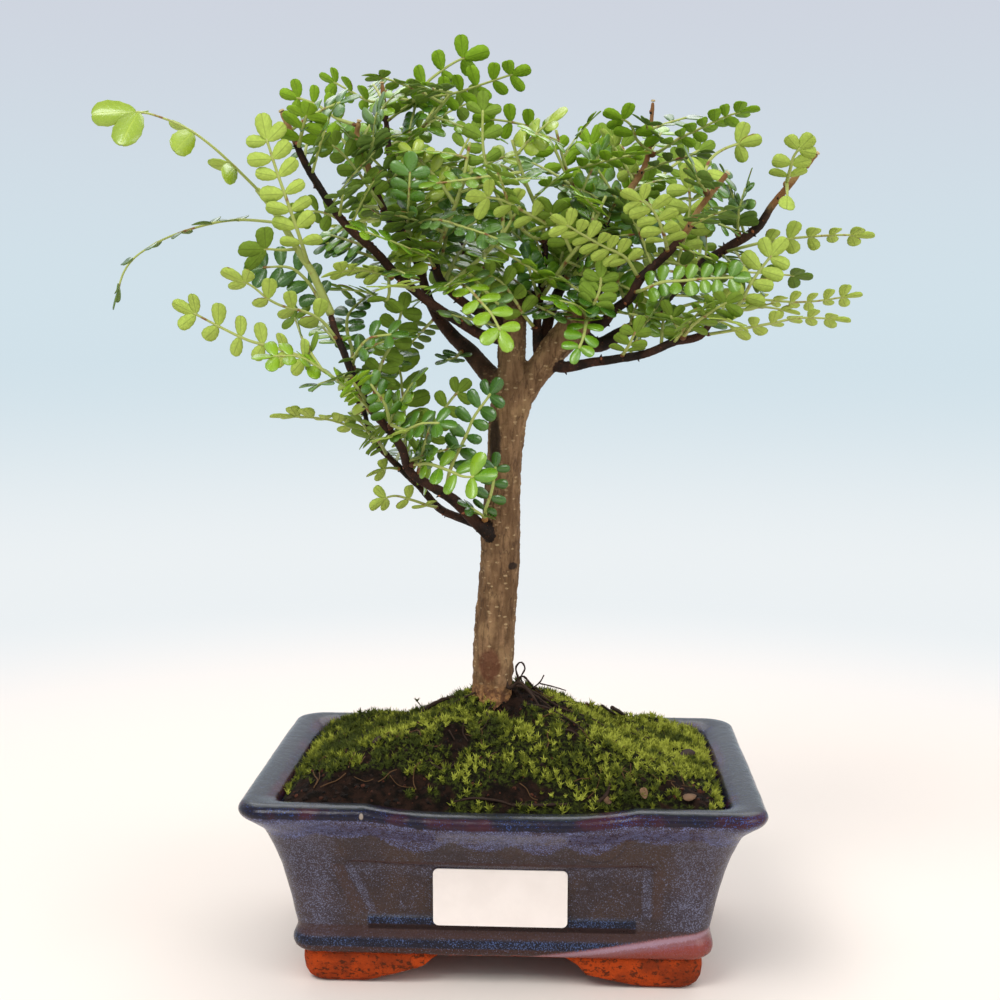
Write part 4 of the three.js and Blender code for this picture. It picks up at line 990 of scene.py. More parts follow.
# Thin roots and twigs as the front view shows them: across, down, lift off the ground and radius.
TWIGS = [points(line) for line in (
    "515 694 0 0.4, 518 680 4 0.35, 516 667 8 0.3, 521 662 9 0.3, 525 668 7 0.28, 521 677 5 0.26, 527 688 2 0.22, "
        "533 694 0 0.2",
    "512 688 2 0.4, 522 676 5 0.35, 530 683 3 0.3, 537 694 0 0.26, 541 703 0 0.2",
    "531 690 1 0.3, 540 682 3 0.28, 544 675 6 0.2",
    "540 684 3 0.26, 551 686 3 0.24, 566 691 2 0.18",
    "535 688 1 0.36, 545 695 0.5 0.34, 557 702 0.3 0.26",
    "612 708 0.5 0.6, 625 717 0.8 0.6, 637 731 0.5 0.55, 643 741 0.2 0.4",
    "590 712 0.5 0.35, 608 720 0.7 0.35, 630 733 0.7 0.3, 650 739 0.2 0.26",
    "602 706 0.6 0.4, 618 717 0.8 0.36, 634 728 0.7 0.3",
    "560 730 0.6 0.34, 572 732 0.8 0.32, 586 744 0.3 0.22",
    "420 715 0 0.7, 431 706 1.4 0.7, 443 700 2 0.6, 456 697 1 0.5",
    "452 803 0.4 0.3, 472 799 0.8 0.4, 500 802 0.7 0.4, 512 806 0.4 0.3",
    "512 806 0.5 0.55, 540 806 0.6 0.55, 568 805 0.4 0.4",
    "464 722 0.3 0.26, 463 733 0.8 0.26, 468 742 0.6 0.2",
    "449 731 0.4 0.26, 455 741 0.5 0.2",
    "428 756 0.4 0.3, 434 766 1.5 0.4, 446 770 0.8 0.3, 455 764 1.2 0.2",
    "673 762 0.5 0.34, 677 772 0.6 0.3",
    "597 803 0.4 0.6, 606 796 1.4 0.6, 612 779 1.0 0.3",
)]
SPRIG = [(425, 713, 0, 0.22), (421, 706, 3, 0.2), (417, 701, 5, 0.2)]
# Fallen leaflets: across, down, length and turn in degrees.
FALLEN = [(680, 758, 5.2, 20), (695, 798, 4.6, 200), (645, 800, 3.4, 100), (374, 745, 3, 60), (604, 797, 3, 320)]


def sighted(across, down):
    """The place on the mound that the front view shows at a place in its picture, and how it faces."""
    sight = (seen((across, down, 0)) - VIEW_POINT).normalized()
    point, normal, _, _ = GROUND["tree"].ray_cast(VIEW_POINT, sight)
    return (point, normal) if point else (seen((across, down, 0)), Vector((0, 0, 1)))


def sighted_line(line):
    """Points over the mound under a drawn line; where it leaves the mound, its depth is kept."""
    points = []
    for across, down, lift, _ in line:
        if lift > 2 and points:
            depth = points[-1].y
            points.append(seen((across, down, depth)))
        else:
            points.append(sighted(across, down + lift)[0] + Vector((0, 0, 0.2 + lift * 0.3)))
    return points


def make_fallen(settings):
    rand = random.Random(9)
    fallen = Copies()
    shape = template(lambda bm: leaflet(bm, rand))
    for across, down, length, turn in FALLEN:
        point, normal = sighted(across, down)
        up = (normal + Vector((0, -0.5, 0.3))).normalized()
        fallen.add(shape, standing(point + up * 1.1, up, radians(turn), (length,) * 3), rand.random())
    add_piece("fallen_leaflets", fallen.whole, [toned("fallen_leaflet", settings)] * 2, (), smooth=None)
    bm = bmesh.new()
    tube(bm, Route(sighted_line(SPRIG), [place[3] for place in SPRIG]), 5, 0.8)
    top = sighted_line(SPRIG)[-1]
    for i in range(5):
        turn = i * 2.4
        lean = Vector((cos(turn), sin(turn), 0.9)).normalized()
        bmesh.ops.create_cone(bm, cap_ends=True, segments=4, radius1=0.45, radius2=0.05, depth=1.6,
                              matrix=standing(top + lean * 0.7, lean, 0, (1, 0.5, 1)))
    add_piece("moss_sprig", bm, [toned("moss_sprig", settings)], ())


def make_litter(settings):
    rand = random.Random(31)
    crumbs = [template(lambda bm: crumb(bm, rand)) for _ in range(6)]
    copies = Copies()
    made = 0
    while made < settings.crumbs:
        x, y = rand.uniform(-62, 62), rand.uniform(-43, 43)
        point, normal = ground(x, y)
        if point is None or rand.random() < 0.7 * mossiness(x, y):
            continue
        made += 1
        size = rand.uniform(0.4, 1.0) ** 2 * 1.9
        matrix = standing(point, normal, rand.uniform(0, 6), (size, size, size * 0.8))
        copies.add(rand.choice(crumbs), matrix, rand.random())
    add_piece("soil_crumbs", copies.whole, [toned("soil_crumb", settings)], (), smooth=False)

    bm = bmesh.new()
    for i, line in enumerate(ROOTS):
        route = Route(lay(line), per_span=8)
        width = 0.6 if i == 0 else 0.42 - 0.03 * i
        tube(bm, route, 7, 0.9, lambda distance, _: width * (1.15 - 0.75 * distance / route.length)
             * (1 + 0.14 * sin(distance * 1.9)))
    for line in TWIGS:
        route = Route(sighted_line(line), [place[3] for place in line])
        tube(bm, route, 6, 0.8, lambda distance, value: value * (1 + 0.16 * sin(distance * 2.3)))
    add_piece("surface_roots", bm, [toned("root_bark", settings)], ())
    make_fallen(settings)

    bm = bmesh.new()
    for _ in range(settings.fibres):
        x, y = rand.uniform(-58, 58), rand.uniform(-42, 36)
        if ground(x, y)[0] is None or (mossiness(x, y) > 0.6 and rand.random() < 0.55):
            continue
        turn = rand.uniform(0, tau)
        line = []
        reach = rand.uniform(1.2, 3.2)
        for step in range(4):
            line.append((x, y, rand.uniform(0, 0.9)))
            turn += rand.uniform(-0.7, 0.7)
            x += cos(turn) * reach
            y += sin(turn) * reach
        if ground(x, y)[0] is not None:
            width = rand.uniform(0.1, 0.2)
            tube(bm, Route(lay(line), per_span=4), 4, 1.2, lambda distance, _: width)
    add_piece("dry_fibres", bm, [toned("dry_fibre", settings)], ())


# --- wood ---

# How far along each of these limbs the young tan wood of this year begins.
TAN_ENDS = {"upright": 0.6, "right_inner": 0.6, "left_inner": 0.72, "left_behind": 0.9, "right_outer": 0.74,
            "left": 0.86, "stub": 0.0}
SLIM = 0.76


def slender(radius):
    """The thin limbs are a little thinner than their solids."""
    return radius * (SLIM + (1 - SLIM) * smoothstep(1.9, 4.0, radius))


def wood_lines():
    return {name: route_of(line, slender) for name, line in {"trunk": TRUNK, **LIMBS}.items()}


def wood_samples(lines):
    """Points down the middle of the wood, each with its way along, its radius and how tan it is."""
    samples = []
    for name, route in lines.items():
        steps = max(2, round(route.length / 0.7))
        begins = TAN_ENDS.get(name, 2.0)
        samples += [(*route.at(route.length * i / steps), smoothstep(begins, begins + 0.1, i / steps))
                    for i in range(steps + 1)]
    tree = kdtree.KDTree(len(samples))
    for i, sample in enumerate(samples):
        tree.insert(sample[0], i)
    tree.balance()
    return samples, tree


WOOD = {}


def make_wood(settings):
    lines = wood_lines()
    samples, tree = wood_samples(lines)
    WOOD.update(lines=lines, samples=samples, tree=tree)
    bm = bmesh.new()
    for route in lines.values():
        tube(bm, route, 14, 1.2, lambda distance, value: value * 0.985, blunt=0.3)
    turn_outward(bm)
    blank = linked("blank", bm)
    remesh = blank.modifiers.new("one_skin", "REMESH")
    remesh.mode = "VOXEL"
    remesh.voxel_size = settings.bark_detail
    bm = evaluated_bmesh(blank)
    drop(blank)
    bmesh.ops.smooth_vert(bm, verts=bm.verts, factor=0.5, use_axis_x=True, use_axis_y=True, use_axis_z=True)
    bm.normal_update()
    girth = bm.verts.layers.float.new("girth")
    tan = bm.verts.layers.float.new("tan")
    shifts = []
    for vert in bm.verts:
        near = tree.find_n(vert.co, 20)
        _, index, _ = min(near, key=lambda found: found[2] - samples[found[1]][2])
        point, along, radius, tanned = samples[index]
        vert[girth] = radius
        vert[tan] = tanned
        lengthwise = along * (vert.co.dot(along))
        stretched = (vert.co - lengthwise) + lengthwise * 0.22
        cracks = abs(noise(stretched * 1.3)) + 0.5 * abs(noise(stretched * 2.7 + Vector((7, 0, 0))))
        lumps = noise(vert.co * 0.33)
        thick = smoothstep(1.5, 5.5, radius)
        shifts.append((cracks - 0.32) * settings.crack_depth * thick + lumps * (0.1 + 0.22 * thick)
                      + noise(vert.co * 1.3) * 0.08)
    for vert, shift in zip(bm.verts, shifts):
        vert.co += vert.normal * shift
    return add_piece("bark_skin", bm, [bark(settings)], ["wood"])


def make_bark_details(settings):
    rand = random.Random(5)
    prickles, scars, ends = bmesh.new(), bmesh.new(), bmesh.new()
    for name, route in WOOD["lines"].items():
        if name == "trunk":
            continue
        distance = rand.uniform(5, 8)
        side = rand.uniform(0, tau)
        while distance < route.length - 2:
            point, along, radius = route.at(distance)
            across = along.orthogonal().normalized()
            out = across * cos(side) + along.cross(across) * sin(side)
            turn = (Matrix((out, along, out.cross(along))).transposed())
            knob(scars, point + out * radius * 0.86, (0.36, 0.5, 0.66), turn, 1)
            if radius < 2.9:
                for way in (-1, 1):
                    tilt = (out * cos(1.0) + out.cross(along) * way * sin(1.0) + along * 0.25).normalized()
                    length = rand.uniform(0.8, 1.5)
                    start = point + tilt * radius * 0.8 - along * 0.7
                    matrix = standing(start + tilt * length / 2, tilt, 0, (1, 1.7, 1))
                    bmesh.ops.create_cone(prickles, cap_ends=True, segments=6, radius1=0.3, radius2=0.05,
                                          depth=length, matrix=matrix)
            side += 2.6 + rand.uniform(-0.4, 0.4)
            distance += rand.uniform(8.5, 13)
        if name in CUT_LIMBS:
            point, along, radius = route.at(route.length)
            matrix = standing(point + along * 0.42, along, 0, (1, 1, 1))
            bmesh.ops.create_cone(ends, cap_ends=True, segments=18, radius1=radius * 0.99, radius2=radius * 0.86,
                                  depth=0.5, matrix=matrix)
    add_piece("prickles", prickles, [toned("prickle", settings)], (), smooth=False)
    add_piece("bud_scars", scars, [toned("bud_scar", settings)], ())
    add_piece("cut_ends", ends, [toned("cut_wood", settings)], (), smooth=False)


CUT_LIMBS = ("left", "left_behind", "left_inner", "upright", "right_outer", "right_inner", "stub", "right_low",
             "low", "low_behind", "middle", "back_left", "back_right", "crossing")


# --- leaves ---

FOLD_AT_RIB = radians(16)
LEAN = radians(72)


LEAFLET_STEPS = 12
LEAFLET_HALF_WIDTH = 0.31
LEAFLET_THICKNESS = 0.035


def leaflet(bm, rand, steps=LEAFLET_STEPS):
    """One leaflet a unit long from its base, along x: an egg shape with its wide end outward,
    a finely scalloped edge and a shallow notch."""
    bm.loops.layers.uv.new("UVMap")
    bmesh.ops.create_grid(bm, x_segments=steps, y_segments=2, size=0.5, calc_uvs=True)
    fold = rand.uniform(0.02, 0.2)
    droop = rand.uniform(-0.04, 0.16)
    twist = rand.uniform(-0.2, 0.2)
    wide = rand.uniform(0.93, 1.08)
    for vert in bm.verts:
        share, side = vert.co.x + 0.5, vert.co.y * 2
        step = round(share * steps)
        along = (1 - cos(share * pi)) / 2
        round_half = sin(share * pi) ** 0.85 * (0.74 + 0.46 * along)
        half = LEAFLET_HALF_WIDTH * wide * max(round_half, 0.13)
        half *= 1 + 0.03 * (1 if step % 2 else -1)
        y = side * half
        z = fold * abs(y) - droop * along * along + twist * y * along
        if step == steps and side == 0:
            along -= 0.035
        vert.co = Vector((along, y, z))
    bmesh.ops.solidify(bm, geom=bm.faces[:], thickness=LEAFLET_THICKNESS)
    turn_outward(bm)
    for face in bm.faces:
        face.smooth = abs(face.normal.z) > 0.6
        face.material_index = 0 if face.normal.z > 0.6 else 1
    bm.faces.layers.float.new("tone")


def between(value, share):
    """A number, or one between two."""
    return value[0] + (value[1] - value[0]) * share if isinstance(value, tuple) else value


def facing(angle):
    """Where an upper side faces: 0 is up, 90 to the front and -90 to the back."""
    angle = radians(angle)
    return Vector((0, -sin(angle), cos(angle)))


STALK, BUD = 0, 1
CARRY_STEPS = 24


def frond(copies, small, route, given, outlook, finish, rand):
    """A leaf: its winged rib, its pairs of leaflets and the one at its tip."""
    tip_size = between(given.size, 1)
    rib = max(route.length - tip_size, 0.5)
    tone = rand.random()

    def square_to(upward, along):
        return (upward - along * upward.dot(along)).normalized()

    carried = [square_to(outlook(0), route.at(0)[1])]
    for i in range(1, CARRY_STEPS + 1):
        carried.append(square_to(carried[-1], route.at(rib * i / CARRY_STEPS)[1]))

    def around(distance):
        point, along, _ = route.at(distance)
        if given.carried:
            normal = carried[round(distance / rib * CARRY_STEPS)]
        else:
            normal = square_to(outlook(distance / rib), along)
        return point, along, normal, normal.cross(along)

    def add_leaflet(base, direction, up, length):
        turn = Matrix((direction, up.cross(direction), up)).transposed().to_4x4()
        sizes = Matrix.Diagonal((length, length * given.width * rand.uniform(0.9, 1.08), length, 1))
        value = min(max(tone + rand.uniform(-0.3, 0.3), 0), 1)
        copies.add(rand.choice(small), Matrix.Translation(base) @ turn @ sizes, value, finish)

    pairs, bare = given.pairs, given.bare
    leafy = rib * (1 - bare) - 0.7
    spots = [rib * bare + leafy * (i / (pairs - 1) if pairs > 1 else 1) for i in range(pairs)]

    def thickness(distance, _):
        joint = min([abs(distance - spot) for spot in spots] or [9])
        return 0.47 - 0.19 * distance / rib + 0.12 * max(0.0, 1 - joint / 0.7)

    stalk = Route([route.at(rib * i / 12)[0] for i in range(13)], per_span=2)
    copies.take_tube(tone, stalk, 6, 0.9, thickness, facing=outlook(0.5).cross(route.at(rib / 2)[1]), squash=1.35)
    for distance in spots:
        size = between(given.size, distance / rib)
        for side in (1, -1):
            point, along, normal, left = around(distance)
            fold = FOLD_AT_RIB * (rand.random() * 2 - 0.8)
            if given.fold is not None:
                fold = radians(given.fold) + fold * 0.4
            outward = left * side * cos(fold) + normal * sin(fold)
            lean = LEAN + (rand.random() - 0.5) * 0.4
            direction = along * cos(lean) + outward * sin(lean)
            up = normal - outward * normal.dot(outward)
            up = (up - direction * up.dot(direction)).normalized()
            add_leaflet(point + left * side * 0.3, direction, up, size * rand.uniform(0.9, 1.1))
    point, along, normal, left = around(rib)
    if given.tip is not None:
        normal = square_to(facing(given.tip), along)
    add_leaflet(point - along * 0.2, along, normal, tip_size * rand.uniform(1.0, 1.1))


def off_bark(place, toward, radius):
    """A spray's seat, clear of the bark by the usual hair's breadth, as in the source."""
    point = seen(place)
    step = (seen(toward) - point).normalized() * 0.1
    samples, tree = WOOD["samples"], WOOD["tree"]
    while True:
        near = [(spot - point).length - samples[index][2] for spot, index, _ in tree.find_range(point, 12)]
        if not near or min(near) > radius + SEAT:
            return point
        point += step


# The outlines of the leafy parts in the front view, as across and down.
CROWNS = [points(line) for line in (
    "292 128, 312 92, 345 66, 388 78, 420 56, 470 48, 520 66, 540 108, 600 108, 650 112, 700 112, 716 150, 764 172, "
    "772 205, 742 230, 745 268, 800 284, 790 318, 700 336, 640 345, 600 348, 556 366, 520 350, 478 322, 430 330, "
    "380 300, 330 296, 312 240, 318 190",
    "246 330, 300 312, 352 286, 420 300, 432 350, 468 362, 508 372, 508 508, 440 500, 400 470, 350 420, 300 396",
)]

# Which part of each limb carries leaves at its nodes, as shares of its length.
LEAFY = {
    "left": (0.3, 0.97), "left_behind": (0.42, 0.98), "left_inner": (0.3, 0.97), "middle": (0.35, 0.98),
    "crossing": (0.4, 1), "upright": (0.25, 0.94), "right_inner": (0.2, 0.9), "right_outer": (0.2, 0.74),
    "right_low": (0.3, 0.97), "main": (0.7, 1), "back_left": (0.3, 0.98), "back_right": (0.3, 0.98),
    "low": (0.34, 0.95), "low_behind": (0.35, 0.9),
}


# Thin leafy shoots that fill the middle of the crown, from the limb that bears them.
SHOOTS = [points(line) for line in (
    "546 240 -1 0.7, 538 212 -6 0.65, 524 178 -12 0.55, 512 140 -16 0.45",
    "600 232 15 0.7, 582 204 6 0.65, 566 168 -2 0.55, 556 130 -6 0.45",
    "433 259 -3 0.7, 448 224 -8 0.65, 462 184 -12 0.55, 470 142 -12 0.45",
    "446 287 -3 0.7, 476 262 -10 0.65, 500 238 -16 0.55, 520 206 -18 0.45",
    "540 300 0 0.7, 566 262 -8 0.65, 590 230 -14 0.55, 606 196 -16 0.45",
    "389 160 22 0.7, 412 138 14 0.65, 436 112 6 0.55, 452 92 0 0.45",
)]


def in_outline(outline, across, down):
    inside = False
    for (x0, y0), (x1, y1) in zip(outline, outline[1:] + outline[:1]):
        if (y0 > down) != (y1 > down) and across < x0 + (down - y0) * (x1 - x0) / (y1 - y0):
            inside = not inside
    return inside


def in_crown(point):
    """Whether the front view shows a point inside a leafy part, well inside the whole plant's box."""
    sight = VIEW_TURN.transposed() @ (point - VIEW_POINT)
    across = VIEW_PIXELS / 2 + VIEW_FOCAL * sight.x / sight.y
    down = VIEW_PIXELS / 2 - VIEW_FOCAL * sight.z / sight.y
    place = INTO_FRAME @ point
    if not cad_box[0].y + 0.008 < place.y < cad_box[1].y - 0.008:
        return False
    return any(in_outline(outline, across, down) for outline in CROWNS)


def shoot_lines():
    return [route_of(line) for line in SHOOTS]


def nearest_spray(point):
    return min(SPRAYS, key=lambda name: (seen(SPRAYS[name][1]) - point).length)


def node_leaves(settings, rand):
    """Leaves at the nodes all along the limbs, as the crown has them: each with its route, its
    numbers, the way that its upper side faces and its tint."""
    grown = []
    up = Vector((0, 0, 1))
    bearing = [(WOOD["lines"][name], low, high) for name, (low, high) in LEAFY.items()]
    bearing += [(route, 0.15, 1) for route in shoot_lines()]
    for route, low, high in bearing:
        distance = route.length * low
        side = rand.uniform(0, tau)
        while distance < route.length * high:
            for _ in range(8):
                point, along, radius = route.at(distance)
                across = along.orthogonal().normalized()
                angle = side + rand.uniform(-1.0, 1.0)
                out = across * cos(angle) + along.cross(across) * sin(angle)
                aim = (out + along * rand.uniform(0, 0.7) + up * rand.uniform(-0.2, 0.6)).normalized()
                reach = rand.uniform(14, 25)
                level = Vector((aim.x, aim.y, 0)) * 0.8 - up * rand.uniform(-0.1, 0.5)
                start = point + out * radius * 0.8
                places = [start + aim * reach * share + level * reach * 0.35 * share * share
                          for share in (0, 0.3, 0.65, 1)]
                if all(in_crown(place) for place in places[1:]):
                    outward = Vector((start.x, start.y - 8, 0)).normalized()
                    outlook = (up + outward * rand.uniform(-0.3, 1.1) + Vector((rand.uniform(-0.4, 0.4),
                               rand.uniform(-0.5, 0.3), 0))).normalized()
                    size = rand.uniform(4.7, 6.3)
                    given = leaf(max(2, round(reach / size / 0.9)), size, None, bare=0.22,
                                 width=rand.uniform(0.9, 1.15))
                    tint = rand.choice(("gloss", "gloss", "dark", "mid", "mid", "bright", "bright", "young"))
                    grown.append((Route(places), given, outlook, tint))
                    break
            side += 2.4
            distance += settings.node_spacing * rand.uniform(0.75, 1.25)
    return grown


def make_leaves(settings):
    tints, shared = leaf_finishes(settings)
    rand = random.Random(41)
    small = [template(lambda bm: leaflet(bm, rand)) for _ in range(8)]
    plain = [template(lambda bm: leaflet(bm, rand, 8)) for _ in range(6)]
    grown = {name: [] for name in SPRAYS}
    for found in node_leaves(settings, rand):
        start = found[0].spots[0]
        grown[nearest_spray(start)].append(found)
    thin = {name: [] for name in SPRAYS}
    for route in shoot_lines():
        thin[nearest_spray(route.spots[0])].append(route)
    for name, (own_tint, bud, *parts) in SPRAYS.items():
        copies = Copies()
        finishes = list(shared)
        shoot = parts[0] if isinstance(parts[0], list) else None
        leaves = parts[1:] if shoot else parts
        single = len(leaves) == 1
        toward = shoot[1] if shoot else points(leaves[0].line)[0]
        start = off_bark(bud, toward, LEAF_BASE_REACH if single else BUD_REACH)
        aim = (seen(toward) - start).normalized()
        size = 0.7 if single else 1.05
        bm = bmesh.new()
        turn = aim.to_track_quat("Z", "Y").to_matrix()
        knob(bm, start - aim * (0.3 if single else 0.7), (size, size * 0.9, size * 1.3), turn, 2)
        copies.take(bm, rand.random(), BUD)
        if shoot:
            copies.take_tube(0.5, route_of(shoot), 10, 0.9)
        for route in thin[name]:
            copies.take_tube(0.5, route, 8, 1.2)

        def finish_of(tint):
            if tints[tint][0] not in finishes:
                finishes.extend(tints[tint])
            return finishes.index(tints[tint][0])

        for given in leaves:
            base = seen(given.start) if given.start else start
            route = Route([base] + [seen(place) for place in points(given.line)])
            frond(copies, small, route, given, lambda share: facing(between(given.face, share)),
                  finish_of(given.tint or own_tint), rand)
        for route, given, outlook, tint in grown[name]:
            frond(copies, plain, route, given, lambda share: outlook, finish_of(tint), rand)
        add_piece("leaves." + name, copies.whole, finishes, ["leaves_" + name], smooth=None,
                  turn_out=False)


# --- finishes ---

def mm(paint):
    """The object's own coordinates, and their three parts in millimetres."""
    where = paint.node("ShaderNodeTexCoord").outputs["Object"]
    return where, paint.parts(paint.vector("SCALE", where, 1 / MM))


def spot(paint, where, place, sizes):
    """A soft patch round a place of the front view, with sizes in millimetres."""
    offset = paint.vector("SUBTRACT", where, INTO_FRAME @ seen(place))
    return paint.vector("LENGTH", paint.vector("MULTIPLY", offset, [1 / MM / size for size in sizes]))


# Heights on the pot's wall in millimetres, each from its lower to its upper edge.
BELOW_BAND = 8.0, 12.0
BASE_BAND = 12.0, 14.7
BETWEEN_BANDS = 14.9, 18.2
BAR_FOOT = 17.2, 19.0
BAR = 18.8, 21.4
PANEL_SIDES = 22.0, 37.6
UNDER_PANEL_LINE = 34.0, 38.2
PANEL_LINE = 38.2, 39.0
RIM_START = 53.3, 53.9
RIM_SHOULDER = 56.9, 57.5

# Lobes of glaze run down from the rim: across from the middle, half width and depth in millimetres.
LOBES = [(-60.5, 8, 2.4), (-44.5, 7.5, 1.6), (-25.5, 10.5, 4.2), (-4.5, 8.5, 3.0), (11, 7.8, 3.8), (26.5, 8.2, 4.4),
         (45, 8, 1.8), (64.5, 8.5, 2.6)]


def dusted(paint, color, dust, share, speck):
    """A colour with fine specks strewn over it, from very few at a share of 0 to half of it at 1."""
    strewn = dust + share * 0.2
    return paint.mix(paint.band(strewn, 0.66, 0.76), color, speck)


def strip(paint, value, low, high, soft):
    """1 between two values, 0 outside them."""
    return paint.band(value, low - soft, low + soft) * paint.band(value, high - soft, high + soft, 1.0, 0.0)


def glaze(settings):
    def build(paint):
        where, (x, y, z) = mm(paint)
        wide = paint.noise(where, 60, 3, stretch=(1, 1, 0.45))
        fine = paint.noise(where, 320, 4)
        dust = paint.noise(where, 2700, 1)
        x = x - POT_MIDDLE.x / MM
        aside = abs(x)
        # Heights as they would be if the rim did not sink in the middle.
        level = z + paint.band(aside, 18, 38, RIM_SAG, 0.0)
        dither = (dust - 0.5) * 3.0

        body, grain = mottle(paint, where, "body_color", "body_warm", "speck_color", 55.0, 1700.0, 0.35)
        corner = paint.band(aside + wide * 10.0, 50.0, 58.0)
        lean = x + z * 0.43
        left_groove = strip(paint, lean, -33.2, -29.4, 0.5)
        left_blue = strip(paint, lean, -29.0, -26.6, 0.6)
        right_blue = strip(paint, x, 40.4, 43.0, 0.5)
        right_groove = strip(paint, x, 43.4, 46.2, 0.6)
        tall = strip(paint, z, *PANEL_SIDES, 0.7)
        under_line = strip(paint, z, *UNDER_PANEL_LINE, 1.5) * paint.band(aside, 40, 44, 1.0, 0.0)
        blue_here = paint.math("MAXIMUM", left_blue, right_blue) * tall
        bluish = paint.math("MAXIMUM", paint.math("MAXIMUM", corner * 0.8, blue_here), under_line * 0.45)
        patchy = bluish * paint.band(wide, 0.3, 0.55, 0.55, 1.0)
        body.lay(patchy * 0.55, "body_blue")
        grooves = paint.math("MAXIMUM", left_groove, right_groove) * tall
        body.lay(grooves * 0.6, "groove_color")
        share = patchy * 0.62 + paint.band(fine, 0.35, 0.65, 0.12, 0.42)
        color = dusted(paint, body, dust, share, "speck_color")

        # Lavender glaze has run down from the rim in round lobes with a fuzzy edge.
        edge = fine + 48.0
        for across, half, depth in LOBES:
            off = (x - across) * (1 / half)
            round_off = 1.0 - off * off
            edge = edge - paint.math("MAXIMUM", round_off, 0.0) * depth
        above = level - edge + dither
        run = paint.mix(paint.band(wide, 0.4, 0.6), "drip_dark", "drip_color")
        run = dusted(paint, run, dust, paint.band(fine, 0.35, 0.6, 0.5, 0.85), "drip_speck")
        color.lay(paint.band(above, -0.3, 0.5), run)
        ring = spot(paint, where, (599, 838, -46), (7.6, 30, 7.6))
        ring = strip(paint, ring, 0.97, 1.03, 0.03) * paint.band(above, -1.4, -0.6, 1.0, 0.0)
        color.lay(ring * 0.45, "rim_dark")

        # The roll of the rim, purple brown with cobalt dust; its flat top has a painted slate grey reflection.
        rim = paint.band(level + fine * -1.2, *RIM_START)
        purple = paint.mix(paint.band(paint.noise(where, 75, 3), 0.4, 0.6), "rim_color", "rim_dark")
        clouds = paint.noise(where, 48, 3)
        face_on = paint.band(level, *RIM_SHOULDER, 1.0, 0.1)
        thick = paint.band(clouds, 0.48, 0.68, 0.06, 0.6) * face_on
        # Painted reflection: the flat top is slate grey for the sky that it mirrors.
        purple = paint.mix(face_on, "rim_top_painted_reflection", purple)
        rim_color = dusted(paint, purple, dust, thick, "rim_speck")
        color.lay(rim, rim_color)

        # The base band, the bar under the panel and the brown between them.
        between_them = strip(paint, z, *BETWEEN_BANDS, 0.4) * 0.7
        color.lay(between_them, "line_color")
        navy = dusted(paint, "band_color", dust, paint.band(clouds, 0.35, 0.62, 0.25, 0.85), "band_speck")
        color.lay(strip(paint, z, *BASE_BAND, 0.6) * 0.92, navy)
        under = strip(paint, z, *BELOW_BAND, 0.35)
        color.lay(under, dusted(paint, "line_color", dust, 0.25, "speck_color"))
        along_bar = paint.band(abs(x), 38.3, 39.2, 1.0, 0.0)
        color.lay(strip(paint, z, *BAR, 0.5) * along_bar, navy)
        color.lay(strip(paint, z, *BAR_FOOT, 0.25) * along_bar, "bar_red")
        line = strip(paint, z, *PANEL_LINE, 0.35) * paint.band(aside, 42.0, 45.0, 1.0, 0.0)
        color.lay(line * 0.85, "line_color")

        front = paint.band(y, POT_MIDDLE.y / MM - 50, POT_MIDDLE.y / MM - 20, 1.0, 0.0)
        slope = z + x * -0.161
        slope = slope + (dither + fine) * 0.35
        streak = paint.band(slope, 8.5, 9.2, 1.0, 0.0) * paint.band(x, 2.0, 12.0)
        streak = streak * front
        pale = paint.mix(paint.band(slope, 5.0, 6.8), "streak_deep", "streak_color")
        # Painted highlight: a pale lilac line along the upper edge of the streak.
        pale.lay(strip(paint, slope, 7.2, 8.5, 0.4), "streak_painted_highlight")
        color.lay(streak * 0.92, pale)
        freckles = paint.band(paint.noise(where, 300, 1), 0.77, 0.8, 0.0, 0.7)
        color.lay(freckles, "bar_red")
        chip = paint.band(spot(paint, where, (361, 817, -56), (0.6, 3, 0.9)) + clouds, 1.2, 1.7, 0.9, 0.0)
        color.lay(chip, "chip_color")
        bare = paint.band(z + fine, 10.2, 10.5, 1.0, 0.0)
        color.lay(bare, "foot_color")
        rough = paint.band(fine + rim * -0.3, 0.1, 0.8, 0.14, 0.42)
        paint.finish(color, rough, grain + fine * 2.0, 0.00018, 0.5)
    return material("pot_glaze", settings, build, coat_weight=0.1, coat_roughness=0.08, specular_ior_level=0.2)


def terracotta(settings):
    def build(paint):
        where, (x, y, z) = mm(paint)
        color, grain = mottle(paint, where, "foot_color", "foot_dark", "foot_speck", 90.0, 900.0, 0.6)
        pits = paint.noise(where, 900, 4, 0.6, stretch=(0.7, 0.7, 1))
        color.lay(paint.band(pits, 0.53, 0.62, 0.0, 0.85), "foot_speck")
        # The clay is darker towards the bottom of the feet.
        darker_at_bottom = paint.band(z + paint.noise(where, 260, 3) * -3.0, -1.5, 0.4, 0.6, 0.0)
        color.lay(darker_at_bottom, "foot_dark")
        glazed = paint.band(z + paint.noise(where, 180, 3) * -2.6, 8.0, 8.8, 0.0, 0.35)
        color.lay(glazed, "band_dark")
        paint.finish(color, paint.band(glazed, 0.0, 1.0, 0.86, 0.35), grain, 0.0006, 0.8)
    return material("bare_terracotta", settings, build, specular_ior_level=0.15)


def blank_paper(settings):
    def build(paint):
        where, (x, y, z) = mm(paint)
        fibres = paint.noise(where, 2600, 5, stretch=(1, 1, 0.5))
        tone = paint.band(paint.noise(where, 110, 3), 0.3, 0.7)
        paint.finish(paint.mix(tone, "label_color", "label_shade"), paint.band(fibres, 0.2, 0.8, 0.42, 0.6), fibres,
                     6e-05, 0.5)
    return material("blank_label_paper", settings, build)


